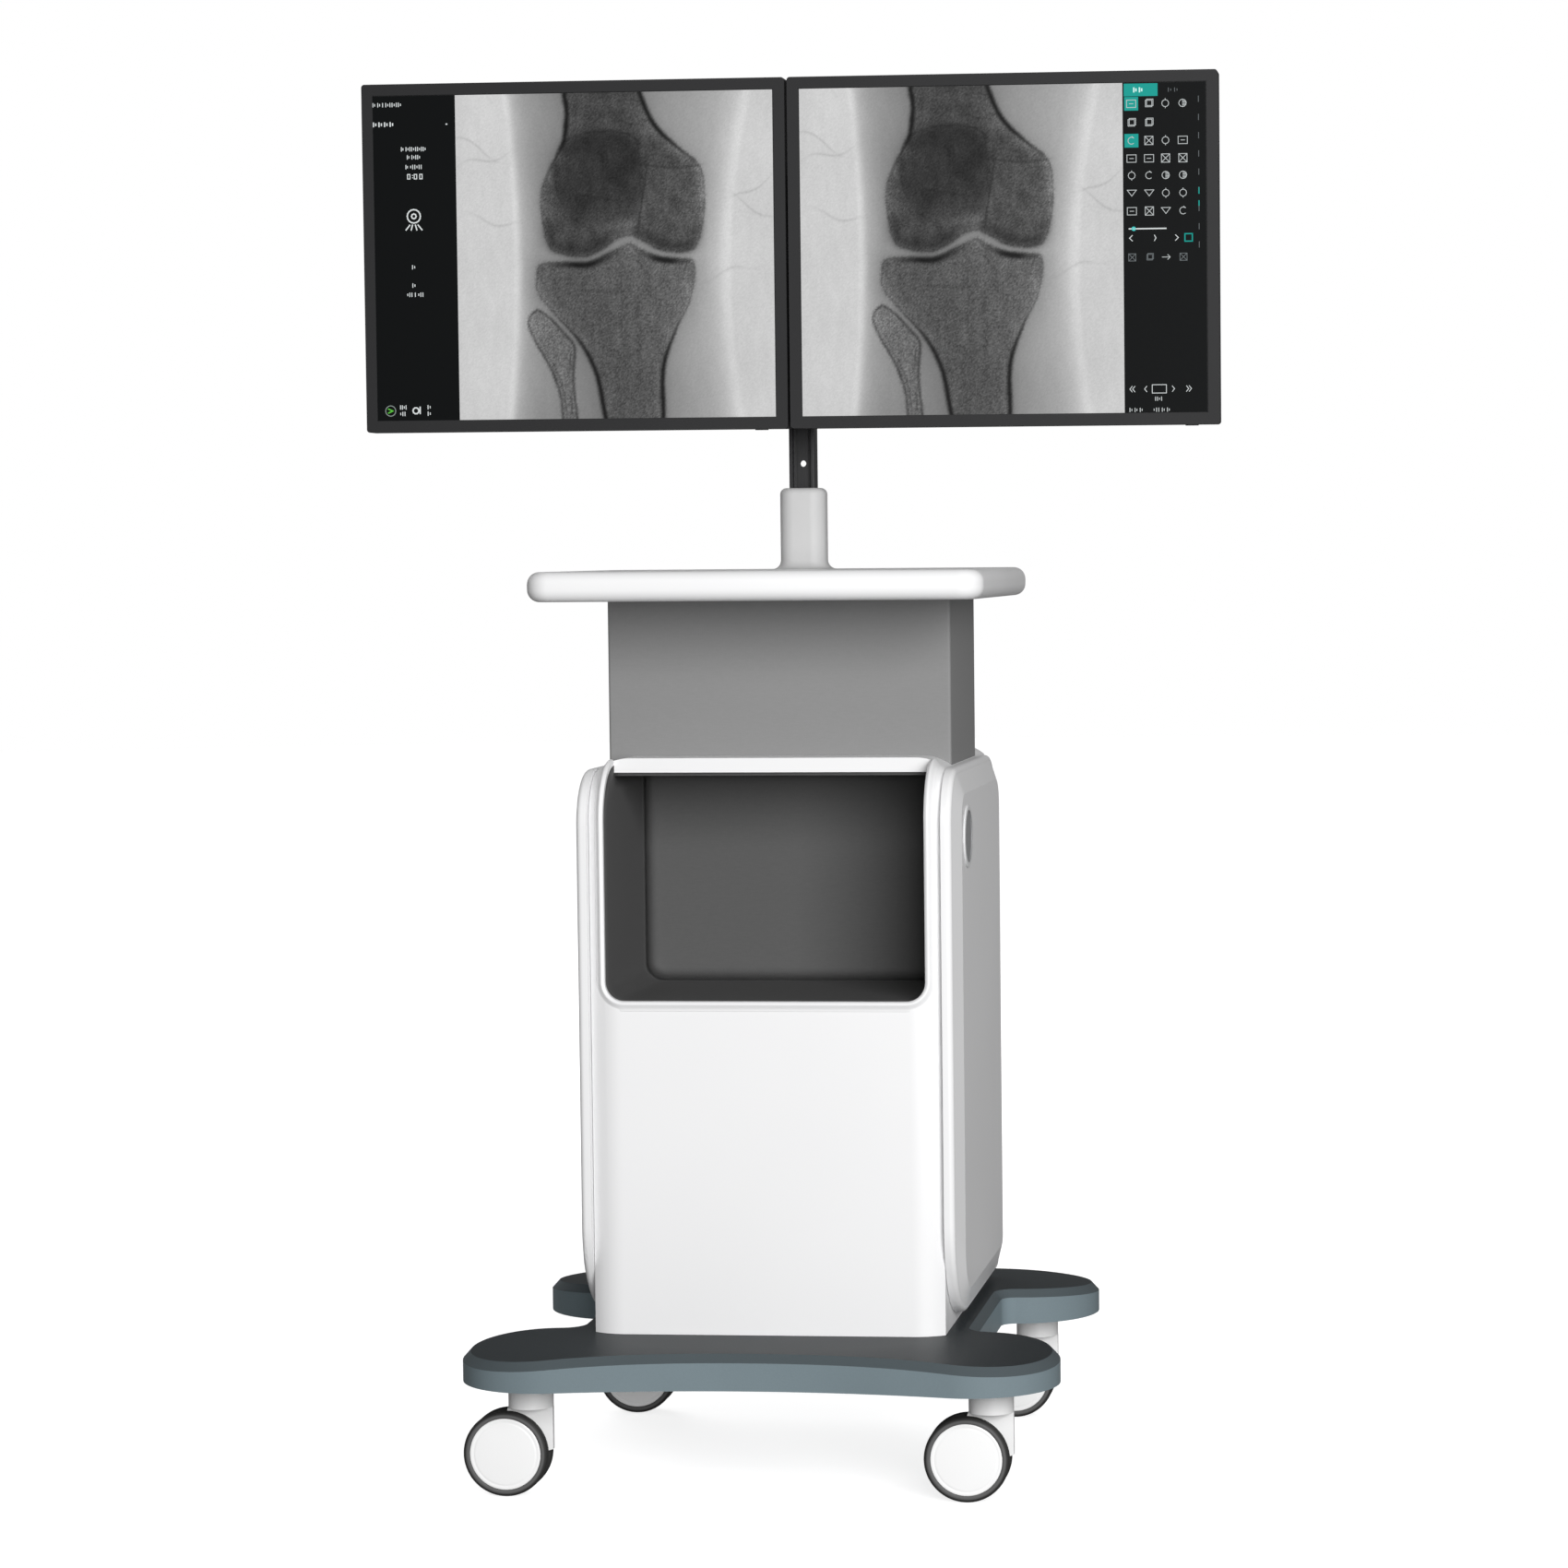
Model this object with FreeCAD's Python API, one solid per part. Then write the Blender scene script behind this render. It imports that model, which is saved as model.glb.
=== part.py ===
import FreeCAD, Part
import math
import os

# Twin-monitor workstation trolley of a mobile X-ray system, in millimetres.
# +Z is up, the screens and the storage bay face -Y, and the origin lies on the
# floor in the middle of the wheelbase.

# castors
wheel_diameter = 76.0
wheel_width = 11.0
tyre_depth = 6.0
tyre_shoulder = 3.0
hub_web = 3.5
hub_boss_diameter = 20.0
hub_dome = 1.2
fork_blade = 6.0
wheel_side_gap = 1.0
castor_trail = 21.0
axle_diameter = 8.0
housing_diameter = 40.0
housing_over_wheel = 3.0
housing_height = 23.5
swivel_gap = 1.0
stem_diameter = 11.0
stem_length = 18.0
stem_inset_x = 60.5
stem_inset_y = 69.0
shaft_gap = 0.05

# base
base_height = 32.0
base_half_x = 266.5
base_half_y = 254.0
lobe_radius = 75.0
waist_half_x = 182.0
waist_fillet = 14.0
front_dip = 21.0
edge_chamfer = 7.0
crown_flat_radius = 215.0
crown_radius = 1000.0
base_wall = 5.0
frame_height = 20.0
beam_width = 30.0
beam_wall = 3.0
rail_x = 120.0
socket_diameter = 34.0

# body
body_half_x = 158.8
body_front = -139.2
body_rear = 190.0
body_height = 514.5
shell_wall = 4.0
shell_roll_width = 28.0
shell_roll_depth = 10.0
brow_radius = 55.0
bay_half_x = 144.5
bay_height = 201.5
bay_depth = 189.0
bay_corner = 17.0
brow_flange = 13.0
liner_wall = 3.0
top_plate_thickness = 6.0
panel_fit = 0.3

# side panels
panel_gap = 0.5
panel_slab = 9.7
panel_raise = 5.5
panel_front_setback = 0.7
panel_rear_overhang = 5.0
panel_foot_gap = 8.0
panel_top_drop = 9.0
panel_toe_corner = 90.0
panel_heel_corner = 20.0
panel_top_corner = 50.0
panel_edge_round = 5.0
bevel_start = 5.5
bevel_front = 27.5
bevel_rear = 14.0
bevel_top = 18.0
bevel_bottom = 19.5
raised_toe_corner = 40.0
raised_heel_corner = 10.0
raised_top_corner = 25.0
badge_diameter = 57.0
badge_rim = 5.0
badge_proud = 1.5
badge_depth = 3.0
badge_from_front = 72.0
badge_from_top = 63.0

# rear panel and electrics
rear_sheet = 3.0
vent_length = 44.0
vent_height = 4.0
vent_pitch_z = 11.0
vent_rows = 7
vent_columns = 3
vent_pitch_x = 62.0
vent_drop = 100.0
screw_head = 8.0
screw_head_height = 2.5
screw_shank = 4.0
screw_inset = 12.0
inlet_width = 30.0
inlet_height = 24.0
inlet_flange = 6.0
inlet_depth = 28.0
inlet_from_side = 53.8
inlet_rise = 64.5
rocker_width = 14.0
rocker_length = 21.0
rocker_rise = 47.0
rocker_pivot_depth = 4.0
rocker_gap = 0.4
rocker_tip = 8.0
earth_pin_diameter = 6.0
earth_pin_length = 16.0
earth_pin_pitch = 50.0

# inner frame and equipment
angle_leg = 25.0
angle_wall = 3.0
frame_setback = 20.0
deck_thickness = 3.0
mid_post_y = 62.0
computer_side_gap = 34.8
computer_headroom = 46.0
computer_depth = 270.0
computer_y = 25.0
computer_wall = 2.5
computer_foot = 8.0
foot_diameter = 20.0
core_outer = 100.0
core_inner = 44.0
core_height = 58.0
core_from_side = 66.8
core_gap = 6.0
core_y = -30.0

# neck and worktop
neck_inset = 1.3
neck_front = -43.0
neck_rear = 132.0
neck_wall = 3.0
neck_edge = 2.5
worktop_overhang = 44.7
worktop_front = -184.0
worktop_rear = 181.0
neck_height = 142.4
worktop_thickness = 26.6
worktop_corner = 22.0
worktop_edge = 11.0

# post
post_y = 108.0
post_width = 24.0
post_depth = 20.0
post_flange = 3.3
post_web = 3.0
post_rib_width = 10.6
post_rib = 1.2
post_reserve = 16.0
post_hole_diameter = 6.0
post_hole_rise = 23.0
post_fit = 0.3
cap_height = 4.0
cap_plug = 12.0
collar_width = 43.0
collar_depth = 38.0
collar_corner = 14.0
collar_height = 76.0
collar_foot_width = 62.0
collar_foot_thickness = 1.0
collar_flare = 8.5
collar_crown = 6.0
socket_plate = 90.0
socket_plate_thickness = 6.0
socket_height = 60.0
socket_wall = 5.0
stop_rise = 67.0
stop_height = 13.0
stop_wall = 4.0

# carriage and head
travel_down = 40.0
travel_up = 85.0
stop_gap = 1.0
carriage_height = 68.0
carriage_wall = 4.0
carriage_corner = 6.0
ear_thickness = 10.0
swivel_y = 84.0
barrel_radius = 9.0
swivel_pin_diameter = 8.0
pin_head = 13.0
pin_head_height = 3.0
face_gap = 0.3
knob_diameter = 32.0
knob_height = 16.0
knob_lobes = 5
knob_scallop = 7.0
knob_stem_diameter = 8.0
knob_standoff = 1.5
bar_thickness = 8.0
bar_height = 34.0
bar_overhang = 6.3
tilt_rise = 60.0
yoke_ear = 5.0
yoke_half_width = 26.0
yoke_radius = 8.0
tilt_pin_diameter = 8.0
lug_radius = 7.5
vesa_pitch = 75.0
vesa_plate = 92.0
vesa_thickness = 3.0
vesa_hole_diameter = 4.5
vesa_screw_head = 7.5

# monitors
screen_front = 29.8
monitor_width = 397.0
monitor_height = 322.0
monitor_gap = 2.4
bezel_side = 10.35
bezel_rail = 10.45
bezel_thickness = 1.6
bezel_depth = 20.0
bezel_wall = 2.5
bezel_corner = 3.0
lcd_thickness = 8.0
lcd_margin = 2.5
back_plate = 2.5
bulge_margin_x = 73.5
bulge_margin_z = 43.0
bulge_depth = 20.0
bulge_taper = 18.0
bulge_corner = 16.0
back_vent_count = 9
back_vent_pitch = 18.0
back_vent_length = 10.0
back_vent_height = 4.0
back_vent_rises = (60.0, 70.0)
button_width = 12.0
button_depth = 5.0
button_height = 5.0
button_proud = 1.0
button_inset = 26.0
button_gap = 0.3

# places worked out from the sizes above
wheel_radius = wheel_diameter / 2
housing_bottom = wheel_diameter + housing_over_wheel
housing_top = housing_bottom + housing_height
base_bottom = housing_top + swivel_gap
wheel_inner_y = fork_blade / 2 + wheel_side_gap
disc_radius = wheel_radius - tyre_depth
base_top = base_bottom + base_height
cavity_top = base_bottom + frame_height
stem_x = base_half_x - stem_inset_x
stem_y = base_half_y - stem_inset_y
body_top = base_top + body_height
roll_radius = (shell_roll_width ** 2 + shell_roll_depth ** 2) / (2 * shell_roll_depth)
panel_front = body_front + panel_front_setback
panel_rear = body_rear + panel_rear_overhang
panel_bottom = base_top + panel_foot_gap
panel_top = body_top - panel_top_drop
badge_y = panel_front + badge_from_front
badge_z = panel_top - badge_from_top
lobe_x = base_half_x - lobe_radius
lobe_y = base_half_y - lobe_radius
panel_inner_x = body_half_x + panel_gap
panel_slab_x = panel_inner_x + panel_slab
panel_outer_x = panel_slab_x + panel_raise
neck_half_x = body_half_x - neck_inset
worktop_half_x = body_half_x + worktop_overhang
worktop_bottom = body_top + neck_height
worktop_top = worktop_bottom + worktop_thickness
brow_rear = body_front + brow_radius
bay_top = body_top - brow_flange
bay_bottom = bay_top - bay_height
bay_rear = body_front + bay_depth
deck_top = bay_bottom - liner_wall
deck_bottom = deck_top - deck_thickness
core_x = body_half_x - core_from_side
computer_left = computer_side_gap - body_half_x
computer_width = core_x - core_outer / 2 - core_gap - computer_left
computer_height = deck_bottom - base_top - computer_foot - computer_headroom
top_plate_top = body_top - shell_wall
top_plate_bottom = top_plate_top - top_plate_thickness
vent_centre_z = top_plate_bottom - vent_drop
inlet_x = inlet_from_side - body_half_x
earth_pin_x = inlet_x + earth_pin_pitch
inlet_z = base_top + inlet_rise
rocker_z = inlet_z + rocker_rise
collar_top = worktop_top + collar_height
post_hole_z = collar_top + post_hole_rise
stop_bottom = collar_top + stop_rise
stop_top = stop_bottom + stop_height
carriage_bottom = stop_top + stop_gap + travel_down
carriage_top = carriage_bottom + carriage_height
carriage_mid = carriage_bottom + carriage_height / 2
post_top = carriage_top + travel_up + post_reserve
tilt_z = carriage_mid + tilt_rise
sleeve_half_x = post_width / 2 + post_fit + carriage_wall
sleeve_front = post_y - post_depth / 2 - post_fit - carriage_wall
sleeve_rear = post_y + post_depth / 2 + post_fit + carriage_wall
monitor_x = (monitor_width + monitor_gap) / 2
bar_half_length = monitor_x + yoke_half_width + bar_overhang
monitor_mid = tilt_z
monitor_bottom = monitor_mid - monitor_height / 2
monitor_top = monitor_mid + monitor_height / 2
picture_width = monitor_width - 2 * bezel_side
picture_height = monitor_height - 2 * bezel_rail
bulge_width = monitor_width - 2 * bulge_margin_x
bulge_height = monitor_height - 2 * bulge_margin_z
bezel_back = screen_front + bezel_depth
bulge_back = bezel_back + back_plate + bulge_depth
vesa_back = bulge_back + vesa_thickness
rear_inner = body_rear - rear_sheet

UP = FreeCAD.Vector(0, 0, 1)
BACK = FreeCAD.Vector(0, 1, 0)
RIGHT = FreeCAD.Vector(1, 0, 0)


def vec(x, y, z):
    return FreeCAD.Vector(x, y, z)


def block(x0, x1, y0, y1, z0, z1):
    return Part.makeBox(x1 - x0, y1 - y0, z1 - z0, vec(x0, y0, z0))


def rod(radius, start, axis, length):
    return Part.makeCylinder(radius, length, start, axis)


def fuse(solids):
    joined = solids[0].multiFuse(solids[1:])
    return joined.removeSplitter()


def round_outline(u0, u1, v0, v1, radii, place):
    # rectangle with its own radius at each corner, laid into space by place(u, v)
    corners = [(u0, v0), (u1, v0), (u1, v1), (u0, v1)]
    runs = [(1, 0), (0, 1), (-1, 0), (0, -1)]
    stations = []
    for index, (corner, radius) in enumerate(zip(corners, radii)):
        arrive = runs[index - 1]
        leave = runs[index]
        start = (corner[0] - radius * arrive[0], corner[1] - radius * arrive[1])
        end = (corner[0] + radius * leave[0], corner[1] + radius * leave[1])
        bulge = radius * (1 - math.sqrt(0.5))
        mid = (corner[0] + bulge * (leave[0] - arrive[0]), corner[1] + bulge * (leave[1] - arrive[1]))
        stations.append((radius, place(*start), place(*mid), place(*end)))
    edges = []
    for index, (radius, start, mid, end) in enumerate(stations):
        if radius > 0:
            edges.append(Part.Arc(start, mid, end).toShape())
        following = stations[(index + 1) % len(stations)][1]
        edges.append(Part.LineSegment(end, following).toShape())
    return Part.Wire(edges)


def plan_outline(x0, x1, y0, y1, radii, z):
    return round_outline(x0, x1, y0, y1, radii, lambda u, v: vec(u, v, z))


def front_outline(x0, x1, z0, z1, radii, y):
    return round_outline(x0, x1, z0, z1, radii, lambda u, v: vec(u, y, v))


def side_outline(y0, y1, z0, z1, radii, x):
    return round_outline(y0, y1, z0, z1, radii, lambda u, v: vec(x, u, v))


def extrude(wire, direction):
    return Part.Face(wire).extrude(direction)


def edges_where(shape, test):
    return [edge for edge in shape.Edges if test(edge)]


def arc_edge(centre, radius, start, end, z):
    # circular arc at height z between two angles in degrees
    points = []
    for angle in (start, (start + end) / 2, end):
        turn = math.radians(angle)
        points.append(vec(centre[0] + radius * math.cos(turn), centre[1] + radius * math.sin(turn), z))
    return Part.Arc(*points).toShape()


def base_outline(inset, z):
    # four round lobes joined by a hollow front and rear and by a straight waist;
    # every arc keeps its centre, so an inset outline stays parallel to the outer one
    lobe = lobe_radius - inset
    waist = waist_half_x - inset
    fillet = waist_fillet + inset
    dip_y = base_half_y - front_dip
    reach = dip_y - lobe_y
    hollow = (lobe_x ** 2 + reach ** 2 - lobe_radius ** 2) / (2 * lobe_radius - 2 * reach)
    hollow_y = dip_y + hollow
    fillet_x = waist_half_x + waist_fillet
    rise = math.sqrt((lobe_radius + waist_fillet) ** 2 - (fillet_x - lobe_x) ** 2)
    fillet_y = lobe_y - rise
    to_hollow = math.degrees(math.atan2(hollow_y - lobe_y, -lobe_x))
    to_fillet = math.degrees(math.atan2(fillet_y - lobe_y, fillet_x - lobe_x))
    spread = math.degrees(math.atan2(lobe_x, hollow_y - lobe_y))
    edges = []
    quarter = [
        arc_edge((lobe_x, lobe_y), lobe, to_fillet, to_hollow, z),
        arc_edge((fillet_x, fillet_y), fillet, to_fillet + 180, 180, z),
    ]
    back_hollow = arc_edge((0, hollow_y), hollow + inset, 270 - spread, 270 + spread, z)
    origin = vec(0, 0, 0)
    for piece in quarter:
        across = piece.mirror(origin, RIGHT)
        edges += [piece, across, piece.mirror(origin, BACK), across.mirror(origin, BACK)]
    edges += [back_hollow, back_hollow.mirror(origin, BACK)]
    for side in (-waist, waist):
        edges.append(Part.LineSegment(vec(side, -fillet_y, z), vec(side, fillet_y, z)).toShape())
    return Part.Wire(Part.__sortEdges__(edges))


def stem_places():
    return [(sx * stem_x, sy * stem_y) for sy in (-1, 1) for sx in (-1, 1)]


def base_cover():
    # moulded tray: crowned top, chamfered rim, hollow underneath
    tray = extrude(base_outline(0, base_bottom), UP * base_height)
    reach = math.hypot(base_half_x, base_half_y)
    fall = math.asin((reach - crown_flat_radius) / crown_radius)
    ring_z = base_top - crown_radius
    half = fall / 2
    mid = vec(crown_flat_radius + crown_radius * math.sin(half), 0, ring_z + crown_radius * math.cos(half))
    rim = vec(reach, 0, ring_z + crown_radius * math.cos(fall))
    start = vec(crown_flat_radius, 0, base_top)
    low_rim = vec(reach, 0, base_bottom)
    low_axis = vec(0, 0, base_bottom)
    profile = Part.Wire([
        Part.LineSegment(low_axis, vec(0, 0, base_top)).toShape(),
        Part.LineSegment(vec(0, 0, base_top), start).toShape(),
        Part.Arc(start, mid, rim).toShape(),
        Part.LineSegment(rim, low_rim).toShape(),
        Part.LineSegment(low_rim, low_axis).toShape(),
    ])
    crown = Part.Face(profile).revolve(vec(0, 0, 0), UP, 360)
    tray = tray.common(crown)
    middle = base_bottom + base_height / 2
    rim_edges = edges_where(tray, lambda e: e.BoundBox.ZMin > middle and leaves_crown_circle(e))
    tray = tray.makeChamfer(edge_chamfer, rim_edges)
    hollow = extrude(base_outline(base_wall, base_bottom), UP * frame_height)
    return tray.cut(hollow)


def leaves_crown_circle(edge):
    # true for the rim of the tray, false for the circle where the crown starts to fall
    radii = [math.hypot(p.x, p.y) for p in edge.discretize(5)]
    return max(abs(r - crown_flat_radius) for r in radii) > 0.5


def tube(x0, x1, y0, y1, z0, z1, wall, along):
    outer = block(x0, x1, y0, y1, z0, z1)
    if along == "x":
        return outer.cut(block(x0, x1, y0 + wall, y1 - wall, z0 + wall, z1 - wall))
    return outer.cut(block(x0 + wall, x1 - wall, y0, y1, z0 + wall, z1 - wall))


def base_frame():
    # welded ladder of box tube with a round socket for each castor stem
    half = beam_width / 2
    parts = []
    for sy in (-1, 1):
        y = sy * stem_y
        parts.append(tube(-stem_x, stem_x, y - half, y + half, base_bottom, cavity_top, beam_wall, "x"))
    for sx in (-1, 1):
        x = sx * rail_x
        run = stem_y - half
        parts.append(tube(x - half, x + half, -run, run, base_bottom, cavity_top, beam_wall, "y"))
    for x, y in stem_places():
        parts.append(rod(socket_diameter / 2, vec(x, y, base_bottom), UP, frame_height))
    frame = fuse(parts)
    for x, y in stem_places():
        frame = frame.cut(rod(stem_diameter / 2 + shaft_gap, vec(x, y, base_bottom), UP,
                              stem_length + swivel_gap))
    return frame


def skin_section(inset, floor, place):
    # section between the skin of the body and a floor line behind it: flat across the
    # middle, with each end rolled back on an arc that an inset section runs parallel to
    half = body_half_x - inset
    flat_half = body_half_x - shell_roll_width
    arc = roll_radius - inset
    end = roll_radius - math.sqrt(arc ** 2 - (half - flat_half) ** 2)
    turn = math.asin((half - flat_half) / arc) / 2
    mid_x = flat_half + arc * math.sin(turn)
    mid = roll_radius - arc * math.cos(turn)
    right_roll = Part.Arc(place(flat_half, inset), place(mid_x, mid), place(half, end))
    left_roll = Part.Arc(place(-half, end), place(-mid_x, mid), place(-flat_half, inset))
    return Part.Face(Part.Wire([
        Part.LineSegment(place(-flat_half, inset), place(flat_half, inset)).toShape(),
        right_roll.toShape(),
        Part.LineSegment(place(half, end), place(half, floor)).toShape(),
        Part.LineSegment(place(half, floor), place(-half, floor)).toShape(),
        Part.LineSegment(place(-half, floor), place(-half, end)).toShape(),
        left_roll.toShape(),
    ]))


def rounded_body(inset):
    # upright trunk, brow that turns the same section over, and flat top behind it
    spring_z = body_top - brow_radius
    full_depth = body_rear - body_front
    trunk = skin_section(inset, full_depth, lambda x, d: vec(x, body_front + d, base_top))
    brow = skin_section(inset, brow_radius, lambda x, d: vec(x, body_front + d, spring_z))
    roof = skin_section(inset, brow_radius, lambda x, d: vec(x, brow_rear, body_top - d))
    return fuse([
        trunk.extrude(UP * (spring_z - base_top)),
        brow.revolve(vec(0, brow_rear, spring_z), RIGHT * -1, 90),
        roof.extrude(BACK * (body_rear - brow_rear)),
    ])


def bay_cut(grow, y0, y1, top):
    # straight-sided bay with rounded lower corners, as seen from the front
    radius = bay_corner + grow
    half = bay_half_x + grow
    outline = front_outline(-half, half, bay_bottom - grow, top, (radius, radius, 0, 0), y0)
    return extrude(outline, BACK * (y1 - y0))


def front_shell():
    shell = rounded_body(0).cut(rounded_body(shell_wall))
    shell = shell.cut(bay_cut(0, body_front - 1, brow_rear, body_top + 1))
    flange = block(-bay_half_x, bay_half_x, brow_rear, brow_rear + shell_wall, bay_top, body_top)
    return fuse([shell, flange.common(rounded_body(0))])


def storage_liner():
    # open-fronted tray that lines the bay, with cheeks that run up inside the brow
    front = body_front + shell_wall
    outer = bay_cut(liner_wall, front, bay_rear + liner_wall, bay_top)
    inner = bay_cut(0, front - 1, bay_rear, bay_top - liner_wall)
    rim_y = brow_rear + shell_wall
    ceiling = bay_top - liner_wall
    notch = block(-body_half_x, body_half_x, front - 1, rim_y, ceiling, body_top)
    parts = [outer.cut(inner).cut(notch)]
    for side in (-1, 1):
        xs = sorted((side * bay_half_x, side * (bay_half_x + liner_wall)))
        parts.append(block(xs[0], xs[1], front, rim_y, ceiling - 1, body_top))
    return fuse(parts).common(rounded_body(shell_wall))


def top_plate():
    half = body_half_x - shell_wall - panel_fit
    plate = block(-half, half, brow_rear + shell_wall, rear_inner, top_plate_bottom, top_plate_top)
    return plate.common(rounded_body(shell_wall))


def angle_post(x_outer, y_outer, x_turn, y_turn, z0, z1):
    # angle section whose corner sits at (x_outer, y_outer) and whose legs run inwards
    legs = []
    for reach_x, reach_y in ((angle_leg, angle_wall), (angle_wall, angle_leg)):
        xs = sorted((x_outer, x_outer + x_turn * reach_x))
        ys = sorted((y_outer, y_outer + y_turn * reach_y))
        legs.append(block(xs[0], xs[1], ys[0], ys[1], z0, z1))
    return fuse(legs)


def chassis_frame():
    # angle uprights from the base to the top plate and a deck under the bay
    x = body_half_x - shell_wall - panel_fit
    front_y = body_front + frame_setback
    parts = [block(-x, x, front_y, mid_post_y + angle_leg, deck_bottom, deck_top)]
    for side in (-1, 1):
        parts.append(angle_post(side * x, front_y, -side, 1, base_top, deck_top))
        parts.append(angle_post(side * x, mid_post_y, -side, 1, base_top, top_plate_bottom))
        parts.append(angle_post(side * x, rear_inner, -side, -1, base_top, top_plate_bottom))
    for z in (base_top, deck_bottom):
        for side in (-1, 1):
            xs = sorted((side * x, side * (x - angle_wall)))
            parts.append(block(xs[0], xs[1], front_y, rear_inner, z, z + angle_leg / 2))
    return fuse(parts).common(rounded_body(shell_wall + panel_fit))


def computer_unit():
    # small tower on four rubber feet
    x0 = computer_left
    y0 = computer_y - computer_depth / 2
    z0 = base_top + computer_foot
    tower = block(x0, x0 + computer_width, y0, y0 + computer_depth, z0, z0 + computer_height)
    tower = tower.makeFillet(4, edges_where(tower, lambda e: e.BoundBox.ZLength > computer_height / 2))
    wall = computer_wall
    tower = tower.cut(block(x0 + wall, x0 + computer_width - wall, y0 + wall, y0 + computer_depth - wall,
                            z0 + wall, z0 + computer_height - wall))
    inset = foot_diameter
    feet = []
    for x in (x0 + inset, x0 + computer_width - inset):
        for y in (y0 + inset, y0 + computer_depth - inset):
            feet.append(rod(foot_diameter / 2, vec(x, y, base_top), UP, computer_foot))
    return fuse([tower] + feet)


def isolation_transformer():
    # toroidal core under a dished clamp washer and a centre bolt
    core = rod(core_outer / 2, vec(core_x, core_y, base_top), UP, core_height)

    def upper_rim(edge):
        return edge.BoundBox.ZMin > base_top + 1 and edge.BoundBox.ZLength < 1

    core = core.makeFillet(10, edges_where(core, upper_rim))
    core = core.cut(rod(core_inner / 2, vec(core_x, core_y, base_top), UP, core_height))
    washer = rod(core_outer / 3, vec(core_x, core_y, base_top + core_height), UP, 3)
    bolt = rod(4, vec(core_x, core_y, base_top), UP, core_height + 10)
    return fuse([core, washer, bolt])


def rear_screw_places():
    half = body_half_x - shell_wall - panel_fit - screw_inset
    low = base_top + screw_inset
    high = top_plate_bottom - screw_inset
    return [(side * half, low + (high - low) * step / 3) for side in (-1, 1) for step in range(4)]


def rear_panel():
    # sheet panel with rows of vent slots and cut-outs for the mains module
    half = body_half_x - shell_wall - panel_fit
    sheet = block(-half, half, rear_inner, body_rear, base_top, top_plate_top - panel_fit)
    sheet = sheet.common(rounded_body(shell_wall + panel_fit))
    cutters = []
    for row in range(vent_rows):
        for column in range(vent_columns):
            z = vent_centre_z + (row - (vent_rows - 1) / 2) * vent_pitch_z
            x = (column - (vent_columns - 1) / 2) * vent_pitch_x
            radius = vent_height / 2
            slot = front_outline(x - vent_length / 2, x + vent_length / 2, z - radius, z + radius,
                                 (radius * 0.99,) * 4, rear_inner - 1)
            cutters.append(extrude(slot, BACK * (rear_sheet + 2)))
    hole_half_x = inlet_width / 2
    hole_top = rocker_z + rocker_length / 2
    hole_bottom = inlet_z - inlet_height / 2
    cutters.append(block(inlet_x - hole_half_x, inlet_x + hole_half_x, rear_inner - 1, body_rear + 1,
                         hole_bottom, hole_top))
    cutters.append(rod(earth_pin_diameter / 2, vec(earth_pin_x, rear_inner - 1, inlet_z), BACK,
                       rear_sheet + 2))
    for x, z in rear_screw_places():
        cutters.append(rod(screw_shank / 2, vec(x, rear_inner - 1, z), BACK, rear_sheet + 2))
    return sheet.cut(cutters)


def rear_panel_screws():
    def outer_rim(edge):
        return edge.BoundBox.YMin > body_rear + 1 and edge.BoundBox.YLength < 1

    screws = []
    for x, z in rear_screw_places():
        shank = rod(screw_shank / 2, vec(x, rear_inner, z), BACK, rear_sheet)
        head = rod(screw_head / 2, vec(x, body_rear, z), BACK, screw_head_height)
        head = head.makeFillet(1, edges_where(head, outer_rim))
        screws.append(fuse([shank, head]))
    return Part.makeCompound(screws)


def mains_inlet():
    # appliance inlet with three blades in its well, and the frame of the rocker above it
    half = inlet_width / 2
    hole_top = rocker_z + rocker_length / 2
    hole_bottom = inlet_z - inlet_height / 2
    body = block(inlet_x - half, inlet_x + half, body_rear - inlet_depth, body_rear, hole_bottom, hole_top)
    flange = front_outline(inlet_x - half - inlet_flange, inlet_x + half + inlet_flange,
                           hole_bottom - inlet_flange, hole_top + inlet_flange, (4, 4, 4, 4), body_rear)
    body = fuse([body, extrude(flange, BACK * 2)])
    well_half = 12.0
    well = front_outline(inlet_x - well_half, inlet_x + well_half, inlet_z - 8.5, inlet_z + 8.5,
                         (1, 1, 5, 5), body_rear - 17)
    body = body.cut(extrude(well, BACK * 20))
    blades = []
    for x, z in ((-7, -2), (0, 2), (7, -2)):
        blades.append(block(inlet_x + x - 1, inlet_x + x + 1, body_rear - 17.5, body_rear - 3,
                            inlet_z + z - 2, inlet_z + z + 2))
    rocker_half = rocker_width / 2 + rocker_gap
    rocker_reach = rocker_length / 2 + rocker_gap
    seat = block(inlet_x - rocker_half, inlet_x + rocker_half, body_rear - 12, body_rear + 3,
                 rocker_z - rocker_reach, rocker_z + rocker_reach)
    body = body.cut(seat)
    axle = rod(1.5, vec(inlet_x - rocker_half - 1, body_rear - rocker_pivot_depth, rocker_z), RIGHT,
               2 * rocker_half + 2)
    return fuse([body, axle] + blades)


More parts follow.
